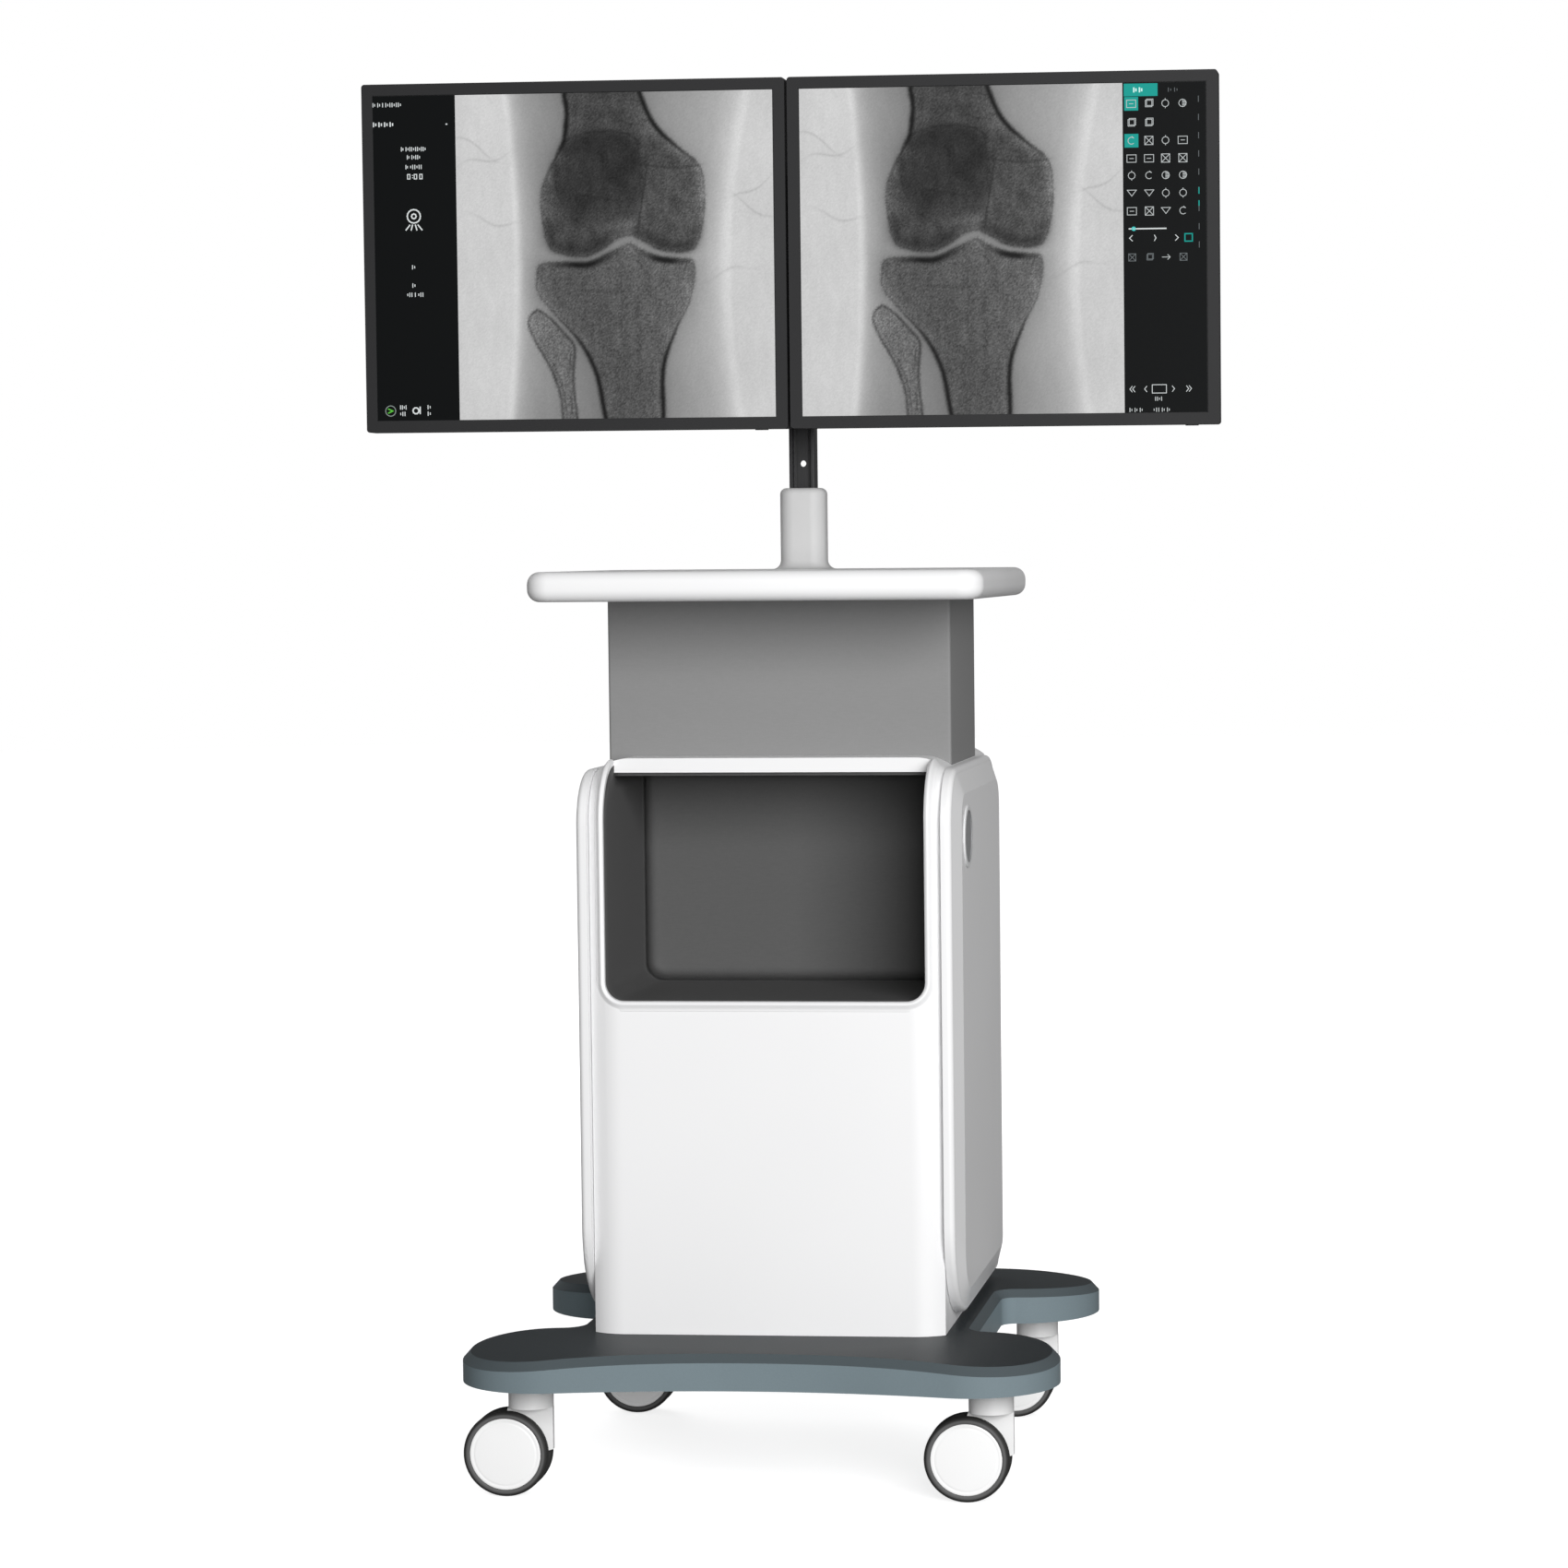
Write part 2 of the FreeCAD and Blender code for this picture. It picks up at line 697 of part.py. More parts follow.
def power_rocker():
    # see-saw key with a shallow V face on its pivot pin, resting with its lower end pressed in
    half = rocker_width / 2
    reach = rocker_length / 2 - 1.2
    pivot_y = body_rear - rocker_pivot_depth
    points = [
        vec(inlet_x - half, pivot_y - 3, rocker_z - 4),
        vec(inlet_x - half, pivot_y - 3, rocker_z + 4),
        vec(inlet_x - half, body_rear + 0.5, rocker_z + reach),
        vec(inlet_x - half, body_rear + 2.5, rocker_z + reach),
        vec(inlet_x - half, body_rear + 1, rocker_z),
        vec(inlet_x - half, body_rear + 2.5, rocker_z - reach),
        vec(inlet_x - half, body_rear + 0.5, rocker_z - reach),
    ]
    key = extrude(Part.makePolygon(points + points[:1]), RIGHT * rocker_width)
    key = key.cut(rod(1.5 + shaft_gap, vec(inlet_x - half - 1, pivot_y, rocker_z), RIGHT, rocker_width + 2))
    key.rotate(vec(inlet_x, pivot_y, rocker_z), RIGHT, -rocker_tip)
    return key


def equipotential_pin():
    # bare earthing pin with a collar
    start = vec(earth_pin_x, rear_inner - 6, inlet_z)
    pin = rod(earth_pin_diameter / 2, start, BACK, 6 + rear_sheet + earth_pin_length)
    collar = rod(earth_pin_diameter, vec(earth_pin_x, body_rear, inlet_z), BACK, 4)
    nut = rod(earth_pin_diameter, vec(earth_pin_x, rear_inner - 4, inlet_z), BACK, 4)
    return fuse([pin, collar, nut])


def side_panel(side):
    # flat slab with a softened rim and a shallow raised field, handed by side
    def at(x):
        return side * x

    rim_corners = (panel_toe_corner, panel_heel_corner, panel_top_corner, panel_top_corner)
    slab_wire = side_outline(panel_front, panel_rear, panel_bottom, panel_top, rim_corners,
                             at(panel_inner_x))
    slab = extrude(slab_wire, RIGHT * (side * panel_slab))
    outer_x = at(panel_slab_x)

    def outer_rim(edge):
        box = edge.BoundBox
        return box.XLength < 0.01 and abs(box.Center.x - outer_x) < 0.01

    slab = slab.makeFillet(panel_edge_round, edges_where(slab, outer_rim))
    start = bevel_start
    foot_corners = [radius - start for radius in rim_corners]
    low = side_outline(panel_front + start, panel_rear - start, panel_bottom + start, panel_top - start,
                       foot_corners, outer_x)
    front = panel_front + start + bevel_front
    rear = panel_rear - start - bevel_rear
    bottom = panel_bottom + start + bevel_bottom
    top = panel_top - start - bevel_top
    raised_corners = (raised_toe_corner, raised_heel_corner, raised_top_corner, raised_top_corner)
    high = side_outline(front, rear, bottom, top, raised_corners, at(panel_outer_x))
    field = Part.makeLoft([low, high], True, True)
    panel = fuse([slab, field])
    pocket = rod(badge_diameter / 2 + panel_fit, vec(at(panel_outer_x - badge_depth), badge_y, badge_z),
                 RIGHT * side, badge_depth + 1)
    return panel.cut(pocket)


def side_badge(side):
    # bare round badge: raised rim round a slightly sunk disc
    foot = vec(side * (panel_outer_x - badge_depth), badge_y, badge_z)
    outward = RIGHT * side
    thickness = badge_depth + badge_proud
    disc = rod(badge_diameter / 2, foot, outward, thickness)
    face_x = side * (panel_outer_x + badge_proud)

    def face_rim(edge):
        return edge.BoundBox.XLength < 0.01 and abs(edge.BoundBox.Center.x - face_x) < 0.01

    disc = disc.makeFillet(1.2, edges_where(disc, face_rim))
    dish = rod(badge_diameter / 2 - badge_rim, foot + outward * (thickness - 1), outward, 2)
    return disc.cut(dish)


def neck_box():
    # open box whose lower edge follows the rolled sides of the body
    low = body_top - shell_roll_depth
    outer = extrude(plan_outline(-neck_half_x, neck_half_x, neck_front, neck_rear, (neck_edge,) * 4, low),
                    UP * (worktop_bottom - low))
    inner = block(-neck_half_x + neck_wall, neck_half_x - neck_wall, neck_front + neck_wall,
                  neck_rear - neck_wall, low, worktop_bottom)
    return outer.cut(inner).cut(rounded_body(0))


def worktop():
    # slab with rounded plan corners and a rolled rim, pierced for the post
    wire = plan_outline(-worktop_half_x, worktop_half_x, worktop_front, worktop_rear, (worktop_corner,) * 4,
                        worktop_bottom)
    slab = extrude(wire, UP * worktop_thickness)
    slab = slab.makeFillet(worktop_edge, edges_where(slab, lambda e: e.BoundBox.ZLength < 0.01))
    seat = extrude(collar_foot_outline(panel_fit), UP * (collar_foot_thickness + 1))
    return slab.cut(seat).cut(post_passage(worktop_bottom - 1, worktop_top + 1))


def collar_foot_outline(gap):
    # outline of the sleeve's foot, let into the worktop by its own thickness
    half_x = collar_foot_width / 2 + gap
    spread = (collar_foot_width - collar_width) / 2
    half_y = collar_depth / 2 + spread + gap
    corner = collar_corner + spread + gap
    return plan_outline(-half_x, half_x, post_y - half_y, post_y + half_y, (corner,) * 4,
                        worktop_top - collar_foot_thickness)


def post_passage(z0, z1):
    half_x = post_width / 2 + post_fit
    half_y = post_depth / 2 + post_fit
    return block(-half_x, half_x, post_y - half_y, post_y + half_y, z0, z1)


def post_collar():
    # white column sleeve with a softly crowned top and a flared foot
    half_x = collar_width / 2
    half_y = collar_depth / 2
    foot_z = worktop_top - collar_foot_thickness
    column = extrude(plan_outline(-half_x, half_x, post_y - half_y, post_y + half_y, (collar_corner,) * 4,
                                  foot_z), UP * (collar_top - foot_z))
    foot = extrude(collar_foot_outline(0), UP * collar_foot_thickness)
    collar = fuse([column, foot])

    def at_height(z, inside):
        def test(edge):
            box = edge.BoundBox
            near = max(abs(box.YMin - post_y), abs(box.YMax - post_y)) < half_y + 0.01
            near = near and max(abs(box.XMin), abs(box.XMax)) < half_x + 0.01
            return box.ZLength < 0.01 and abs(box.ZMin - z) < 0.01 and (near or not inside)
        return test

    collar = collar.makeFillet(collar_flare, edges_where(collar, at_height(worktop_top, True)))
    collar = collar.makeFillet(collar_crown, edges_where(collar, at_height(collar_top, False)))
    return collar.cut(post_passage(foot_z - 1, collar_top + 1))


def post_socket():
    # flanged steel socket on the body top that carries the foot of the post
    half = socket_plate / 2
    plate_rear = neck_rear - neck_wall - panel_fit
    plate = block(-half, half, post_y - half, plate_rear, body_top, body_top + socket_plate_thickness)
    side_x = post_width / 2 + post_fit + socket_wall
    side_y = post_depth / 2 + post_fit + socket_wall
    sleeve = block(-side_x, side_x, post_y - side_y, post_y + side_y, body_top, body_top + socket_height)
    return fuse([plate, sleeve]).cut(post_passage(body_top - 1, body_top + socket_height + 1))


def monitor_post():
    # H-section extrusion: two flanges, a thin web and a raised strip on both faces of the web
    bottom = body_top
    height = post_top - bottom
    half_x = post_width / 2
    half_y = post_depth / 2
    parts = [block(-half_x, half_x, post_y - post_web / 2, post_y + post_web / 2, bottom, post_top)]
    for side in (-1, 1):
        xs = sorted((side * half_x, side * (half_x - post_flange)))
        parts.append(block(xs[0], xs[1], post_y - half_y, post_y + half_y, bottom, post_top))
    strip = post_web / 2 + post_rib
    rib_half = post_rib_width / 2
    parts.append(block(-rib_half, rib_half, post_y - strip, post_y + strip, bottom, post_top))
    post = fuse(parts)

    def outer_corner(edge):
        box = edge.BoundBox
        on_side = abs(abs(box.Center.x) - half_x) < 0.01
        on_face = abs(abs(box.Center.y - post_y) - half_y) < 0.01
        return box.ZLength > height / 2 and on_side and on_face

    post = post.makeFillet(0.8, edges_where(post, outer_corner))
    hole = rod(post_hole_diameter / 2, vec(0, post_y - half_y, post_hole_z), BACK, post_depth)
    return post.cut(hole)


def post_cap():
    # lid over the end of the post, with two plugs down its channels
    grow = 0.6
    half_x = post_width / 2 + grow
    half_y = post_depth / 2 + grow
    lid = extrude(plan_outline(-half_x, half_x, post_y - half_y, post_y + half_y, (2, 2, 2, 2), post_top),
                  UP * cap_height)
    lid = lid.makeFillet(1.5, edges_where(lid, lambda e: e.BoundBox.ZMin > post_top + cap_height - 0.01))
    plug_half = post_width / 2 - post_flange - post_fit
    near = post_web / 2 + post_rib + post_fit
    far = post_depth / 2 - 1
    parts = [lid]
    for side in (-1, 1):
        ys = sorted((post_y + side * near, post_y + side * far))
        parts.append(block(-plug_half, plug_half, ys[0], ys[1], post_top - cap_plug, post_top))
    return fuse(parts)


def post_ring(wall, corner, z0, height):
    half_x = post_width / 2 + post_fit + wall
    half_y = post_depth / 2 + post_fit + wall
    ring = extrude(plan_outline(-half_x, half_x, post_y - half_y, post_y + half_y, (corner,) * 4, z0),
                   UP * height)
    return ring.cut(post_passage(z0 - 1, z0 + height + 1))


def stop_collar():
    # clamp ring under the carriage, with a grub screw in its rear wall
    ring = post_ring(stop_wall, 3, stop_bottom, stop_height)
    rear = post_y + post_depth / 2 + post_fit
    hole_z = stop_bottom + stop_height / 2
    screw_start = vec(0, post_y + post_web / 2 + post_rib + 0.1, hole_z)
    ring = ring.cut(rod(2.5, vec(0, rear - 1, hole_z), BACK, stop_wall + 2))
    screw = rod(2.5, screw_start, BACK, rear + stop_wall - screw_start.y)
    return Part.makeCompound([ring, screw])


def carriage():
    # sleeve round the post with two forward ears for the swivel pin
    sleeve = post_ring(carriage_wall, carriage_corner, carriage_bottom, carriage_height)
    parts = [sleeve]
    for z in (carriage_bottom, carriage_top - ear_thickness):
        parts.append(rod(barrel_radius, vec(0, swivel_y, z), UP, ear_thickness))
        parts.append(block(-barrel_radius, barrel_radius, swivel_y, sleeve_front + carriage_wall / 2,
                           z, z + ear_thickness))
    body = fuse(parts)
    body = body.cut(rod(swivel_pin_diameter / 2, vec(0, swivel_y, carriage_bottom - 1), UP,
                        carriage_height + 2))
    rear_wall = sleeve_rear - carriage_wall
    return body.cut(rod(knob_stem_diameter / 2 + shaft_gap, vec(0, rear_wall - 1, carriage_mid), BACK,
                        carriage_wall + 2))


def swivel_pin():
    pin = rod(swivel_pin_diameter / 2, vec(0, swivel_y, carriage_bottom), UP, carriage_height)
    head = rod(pin_head / 2, vec(0, swivel_y, carriage_top), UP, pin_head_height)
    clip_height = pin_head_height / 2
    clip = rod(pin_head / 2, vec(0, swivel_y, carriage_bottom - clip_height), UP, clip_height)
    return fuse([pin, head, clip])


def clamp_knob():
    # lobed hand knob whose stem runs through the sleeve towards the web of the post
    seat = sleeve_rear + knob_standoff
    knob = rod(knob_diameter / 2, vec(0, seat, carriage_mid), BACK, knob_height)
    scallops = []
    for index in range(knob_lobes):
        angle = 2 * math.pi * index / knob_lobes
        reach = knob_diameter / 2 + knob_scallop / 3
        centre = vec(reach * math.cos(angle), seat - 1, carriage_mid + reach * math.sin(angle))
        scallops.append(rod(knob_scallop, centre, BACK, knob_height + 2))
    knob = knob.cut(scallops)
    tip = post_y + post_web / 2 + post_rib + post_fit
    stem = rod(knob_stem_diameter / 2, vec(0, tip, carriage_mid), BACK, seat - tip)
    return fuse([knob, stem])


def crossbar():
    # flat bar with a swivel barrel in the middle and a tilt yoke behind each monitor
    z0 = carriage_mid - bar_height / 2
    bar = extrude(front_outline(-bar_half_length, bar_half_length, z0, z0 + bar_height, (8, 8, 8, 8),
                                swivel_y - bar_thickness / 2), BACK * bar_thickness)
    barrel_z = carriage_bottom + ear_thickness + face_gap
    barrel_height = carriage_height - 2 * ear_thickness - 2 * face_gap
    barrel = rod(barrel_radius, vec(0, swivel_y, barrel_z), UP, barrel_height)
    parts = [bar, barrel]
    bar_top = z0 + bar_height
    bores = [rod(swivel_pin_diameter / 2 + shaft_gap, vec(0, swivel_y, barrel_z - 1), UP, barrel_height + 2)]
    for side in (-1, 1):
        centre = side * monitor_x
        for ear_side in (-1, 1):
            outer = centre + ear_side * yoke_half_width
            inner = centre + ear_side * (yoke_half_width - yoke_ear)
            xs = sorted((outer, inner))
            parts.append(block(xs[0], xs[1], swivel_y - bar_thickness / 2, swivel_y + bar_thickness / 2,
                               bar_top - 1, tilt_z))
            parts.append(rod(yoke_radius, vec(xs[0], swivel_y, tilt_z), RIGHT, yoke_ear))
        reach = yoke_half_width + 1
        bores.append(rod(tilt_pin_diameter / 2, vec(centre - reach, swivel_y, tilt_z), RIGHT, 2 * reach))
    return fuse(parts).cut(bores)


def tilt_pins():
    pins = []
    for side in (-1, 1):
        centre = side * monitor_x
        shank = rod(tilt_pin_diameter / 2, vec(centre - yoke_half_width, swivel_y, tilt_z), RIGHT,
                    2 * yoke_half_width)
        parts = [shank]
        for end in (-1, 1):
            x = centre + end * yoke_half_width
            parts.append(rod(pin_head / 2, vec(min(x, x + end * pin_head_height), swivel_y, tilt_z), RIGHT,
                             pin_head_height))
        pins.append(fuse(parts))
    return Part.makeCompound(pins)


def vesa_places(centre):
    half = vesa_pitch / 2
    return [(centre + sx * half, monitor_mid + sz * half) for sx in (-1, 1) for sz in (-1, 1)]


def tilt_bracket(centre):
    # square mounting plate on a barrel that turns on the tilt pin
    half = vesa_plate / 2
    plate = extrude(front_outline(centre - half, centre + half, monitor_mid - half, monitor_mid + half,
                                  (8, 8, 8, 8), bulge_back), BACK * vesa_thickness)
    lug_half = yoke_half_width - yoke_ear - face_gap
    lug = rod(lug_radius, vec(centre - lug_half, swivel_y, tilt_z), RIGHT, 2 * lug_half)
    web = block(centre - lug_half, centre + lug_half, vesa_back - 1, swivel_y, tilt_z - lug_radius * 0.8,
                tilt_z + lug_radius * 0.8)
    bracket = fuse([plate, lug, web])
    bores = [rod(tilt_pin_diameter / 2 + shaft_gap, vec(centre - lug_half - 1, swivel_y, tilt_z), RIGHT,
                 2 * lug_half + 2)]
    for x, z in vesa_places(centre):
        bores.append(rod(vesa_hole_diameter / 2, vec(x, bulge_back - 1, z), BACK, vesa_thickness + 2))
    return bracket.cut(bores)


def vesa_screws(centre):
    screws = []
    for x, z in vesa_places(centre):
        shank = rod(2, vec(x, bulge_back - 8, z), BACK, 8 + vesa_thickness)
        head = rod(vesa_screw_head / 2, vec(x, vesa_back, z), BACK, 2)
        screws.append(fuse([shank, head]))
    return Part.makeCompound(screws)


def button_x(centre):
    return centre + monitor_width / 2 - button_inset


def monitor_bezel(centre):
    # thin front frame with deep side walls, and an opening for the power key in its lower wall
    half_x = monitor_width / 2
    outer = extrude(front_outline(centre - half_x, centre + half_x, monitor_bottom, monitor_top,
                                  (bezel_corner,) * 4, screen_front), BACK * bezel_depth)
    inner = block(centre - half_x + bezel_wall, centre + half_x - bezel_wall, screen_front + bezel_thickness,
                  bezel_back + 1, monitor_bottom + bezel_wall, monitor_top - bezel_wall)
    window = block(centre - picture_width / 2, centre + picture_width / 2, screen_front - 1, bezel_back,
                   monitor_mid - picture_height / 2, monitor_mid + picture_height / 2)
    key_half_x = button_width / 2 + button_gap
    key_half_y = button_depth / 2 + button_gap
    key_y = screen_front + bezel_depth / 2
    x = button_x(centre)
    key_hole = block(x - key_half_x, x + key_half_x, key_y - key_half_y, key_y + key_half_y,
                     monitor_bottom - 1, monitor_bottom + bezel_wall + 1)
    return outer.cut([inner, window, key_hole])


def lcd_panel(centre):
    half_x = picture_width / 2 + lcd_margin
    half_z = picture_height / 2 + lcd_margin
    front = screen_front + bezel_thickness
    return block(centre - half_x, centre + half_x, front, front + lcd_thickness, monitor_mid - half_z,
                 monitor_mid + half_z)


def monitor_back(centre):
    # flat rear plate with a tapered housing, vent slots and bosses for the mounting screws
    half_x = monitor_width / 2
    plate = extrude(front_outline(centre - half_x, centre + half_x, monitor_bottom, monitor_top,
                                  (bezel_corner,) * 4, bezel_back), BACK * back_plate)
    start = bezel_back

    def tapered(inset, y0, y1):
        wires = []
        for y, shrink in ((y0, 0.0), (y1, bulge_taper)):
            reach_x = bulge_width / 2 - inset - shrink
            reach_z = bulge_height / 2 - inset - shrink
            radius = bulge_corner - inset
            wires.append(front_outline(centre - reach_x, centre + reach_x, monitor_mid - reach_z,
                                       monitor_mid + reach_z, (radius,) * 4, y))
        return Part.makeLoft(wires, True, True)

    outer = tapered(0, start, bulge_back)
    inner = tapered(back_plate, start - 0.5, bulge_back - back_plate)
    slots = []
    for index in range(back_vent_count):
        x = centre + (index - (back_vent_count - 1) / 2) * back_vent_pitch
        for rise in back_vent_rises:
            z = monitor_mid + rise
            slots.append(block(x - back_vent_length / 2, x + back_vent_length / 2,
                               bulge_back - back_plate - 1, bulge_back + 1, z, z + back_vent_height))
    back = fuse([plate, outer]).cut(inner).cut(slots)
    bosses = []
    bores = []
    for x, z in vesa_places(centre):
        bosses.append(rod(5, vec(x, bulge_back - 10, z), BACK, 10))
        bores.append(rod(2, vec(x, bulge_back - 8, z), BACK, 9))
    return fuse([back] + bosses).cut(bores)


def power_button(centre):
    x = button_x(centre)
    y = screen_front + bezel_depth / 2
    half_x = button_width / 2
    half_y = button_depth / 2
    wire = plan_outline(x - half_x, x + half_x, y - half_y, y + half_y, (1.5,) * 4,
                        monitor_bottom - button_proud)
    return extrude(wire, UP * button_height)


def castor_fork(x, y, trail):
    # round swivel housing with its stem above and one flat blade below, and the axle through the blade
    wheel_x = x + trail
    turn = 1 if trail > 0 else -1
    housing = rod(housing_diameter / 2, vec(x, y, housing_bottom), UP, housing_top - housing_bottom)
    stem = rod(stem_diameter / 2, vec(x, y, housing_top), UP, stem_length)
    half = fork_blade / 2
    back_x = x - turn * housing_diameter / 2
    toe = 9.0
    corners = [
        (back_x, housing_bottom),
        (back_x, wheel_radius + 3),
        (wheel_x - turn * 2, wheel_radius - toe),
        (wheel_x + turn * toe, wheel_radius - toe),
        (wheel_x + turn * toe, wheel_radius + toe),
        (x + turn * housing_diameter / 2, housing_bottom),
    ]
    points = [vec(px, y - half, pz) for px, pz in corners]
    blade = extrude(Part.makePolygon(points + points[:1]), BACK * fork_blade)
    fork = fuse([housing, stem, blade])
    axle_reach = wheel_inner_y + wheel_width - hub_dome - 1
    axle_start = vec(wheel_x, y - axle_reach, wheel_radius)
    fork = fork.cut(rod(axle_diameter / 2, axle_start, BACK, 2 * axle_reach))
    axle = rod(axle_diameter / 2, axle_start, BACK, 2 * axle_reach)
    return Part.makeCompound([fork, axle])


def revolve_about_axle(points, wheel_x, y, facing):
    # points are (radius, distance outwards from the blade side of the wheel)
    places = []
    for radius, out in points:
        places.append(vec(wheel_x, y + facing * (wheel_inner_y + out), wheel_radius + radius))
    face = Part.Face(Part.makePolygon(places + places[:1]))
    return face.revolve(vec(wheel_x, y, wheel_radius), BACK, 360)


def castor_hub(wheel_x, y, facing):
    # dished plastic centre: smooth domed cover outside, boss and web inside
    bore = axle_diameter / 2 + shaft_gap
    boss = hub_boss_diameter / 2
    cover = wheel_width - hub_dome
    points = [
        (bore, 0),
        (boss, 0),
        (boss, cover - hub_web),
        (disc_radius - 3, cover - hub_web),
        (disc_radius - 3, 1),
        (disc_radius, 1),
        (disc_radius, cover),
        (disc_radius * 0.6, wheel_width - hub_dome * 0.4),
        (0, wheel_width),
        (0, cover - 1 + 0.3),
        (bore, cover - 1 + 0.3),
    ]
    return revolve_about_axle(points, wheel_x, y, facing)


def castor_tyre(wheel_x, y, facing):
    bevel = tyre_shoulder * 0.35
    points = [
        (disc_radius, 0.5),
        (wheel_radius - tyre_shoulder, 0),
        (wheel_radius - bevel, bevel),
        (wheel_radius, tyre_shoulder),
        (wheel_radius, wheel_width - tyre_shoulder - 0.5),
        (wheel_radius - bevel, wheel_width - bevel - 0.5),
        (wheel_radius - tyre_shoulder, wheel_width - 0.5),
        (disc_radius, wheel_width - hub_dome),
    ]
    return revolve_about_axle(points, wheel_x, y, facing)


def build_nodes():
    nodes = {
        "base_cover": base_cover(),
        "base_frame": base_frame(),
        "front_shell": front_shell(),
        "storage_liner": storage_liner(),
        "top_plate": top_plate(),
        "chassis_frame": chassis_frame(),
        "computer_unit": computer_unit(),
        "isolation_transformer": isolation_transformer(),
        "rear_panel": rear_panel(),
        "rear_panel_screws": rear_panel_screws(),
        "mains_inlet": mains_inlet(),
        "power_rocker": power_rocker(),
        "equipotential_pin": equipotential_pin(),
        "side_panel_left": side_panel(-1),
        "side_panel_right": side_panel(1),
        "side_badges": Part.makeCompound([side_badge(-1), side_badge(1)]),
        "neck_box": neck_box(),
        "worktop": worktop(),
        "post_collar": post_collar(),
        "post_socket": post_socket(),
        "monitor_post": monitor_post(),
        "post_cap": post_cap(),
        "stop_collar": stop_collar(),
        "carriage": carriage(),
        "swivel_pin": swivel_pin(),
        "clamp_knob": clamp_knob(),
        "crossbar": crossbar(),
        "tilt_pins": tilt_pins(),
    }
    for name, side in (("left", -1), ("right", 1)):
        centre = side * monitor_x
        nodes["bezel_" + name] = monitor_bezel(centre)
        nodes["lcd_panel_" + name] = lcd_panel(centre)
        nodes["monitor_back_" + name] = monitor_back(centre)
        nodes["tilt_bracket_" + name] = tilt_bracket(centre)
        nodes["vesa_screws_" + name] = vesa_screws(centre)
        nodes["power_button_" + name] = power_button(centre)
    castors = {"fl": (-1, -1, -1), "fr": (1, -1, -1), "rl": (-1, 1, 1), "rr": (1, 1, -1)}
    for name, (sx, sy, lean) in castors.items():
        x = sx * stem_x
        y = sy * stem_y
        trail = lean * castor_trail
        nodes["castor_" + name + "_fork"] = castor_fork(x, y, trail)
        for place, facing in (("front", -1), ("rear", 1)):
            nodes["castor_" + name + "_hub_" + place] = castor_hub(x + trail, y, facing)
            nodes["castor_" + name + "_tyre_" + place] = castor_tyre(x + trail, y, facing)
    return nodes


os.makedirs("parts", exist_ok=True)
for node_name, shape in build_nodes().items():
    shape.exportStep("parts/" + node_name + ".step")
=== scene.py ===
import bpy
import math
import numpy as np
from mathutils import Matrix, Vector


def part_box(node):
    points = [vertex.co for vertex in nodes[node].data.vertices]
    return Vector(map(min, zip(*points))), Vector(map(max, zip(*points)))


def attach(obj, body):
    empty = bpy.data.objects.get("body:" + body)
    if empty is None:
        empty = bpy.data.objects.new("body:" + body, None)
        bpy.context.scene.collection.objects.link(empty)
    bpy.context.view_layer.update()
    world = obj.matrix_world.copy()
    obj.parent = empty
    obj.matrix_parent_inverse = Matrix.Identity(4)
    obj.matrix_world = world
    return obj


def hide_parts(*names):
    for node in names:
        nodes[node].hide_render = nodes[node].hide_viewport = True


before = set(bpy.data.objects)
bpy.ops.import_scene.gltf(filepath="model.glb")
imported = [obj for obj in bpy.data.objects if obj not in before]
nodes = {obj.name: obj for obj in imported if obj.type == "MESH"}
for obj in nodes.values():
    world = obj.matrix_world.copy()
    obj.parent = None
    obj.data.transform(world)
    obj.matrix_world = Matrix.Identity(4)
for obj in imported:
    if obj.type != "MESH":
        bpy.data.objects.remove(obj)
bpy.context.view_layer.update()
print("frame loaded:", len(nodes), "nodes")


# ---- shader expressions

class Wire:
    # one output socket; arithmetic on it adds Math nodes to its graph
    def __init__(self, graph, socket):
        self.graph = graph
        self.socket = socket

    def math(self, operation, *values):
        return self.graph.node("Math", {"operation": operation}, dict(enumerate(values)))

    def __add__(self, other):
        return self.math("ADD", self, other)

    def __radd__(self, other):
        return self.math("ADD", other, self)

    def __sub__(self, other):
        return self.math("SUBTRACT", self, other)

    def __mul__(self, other):
        return self.math("MULTIPLY", self, other)

    def __pow__(self, other):
        return self.math("POWER", self, other)


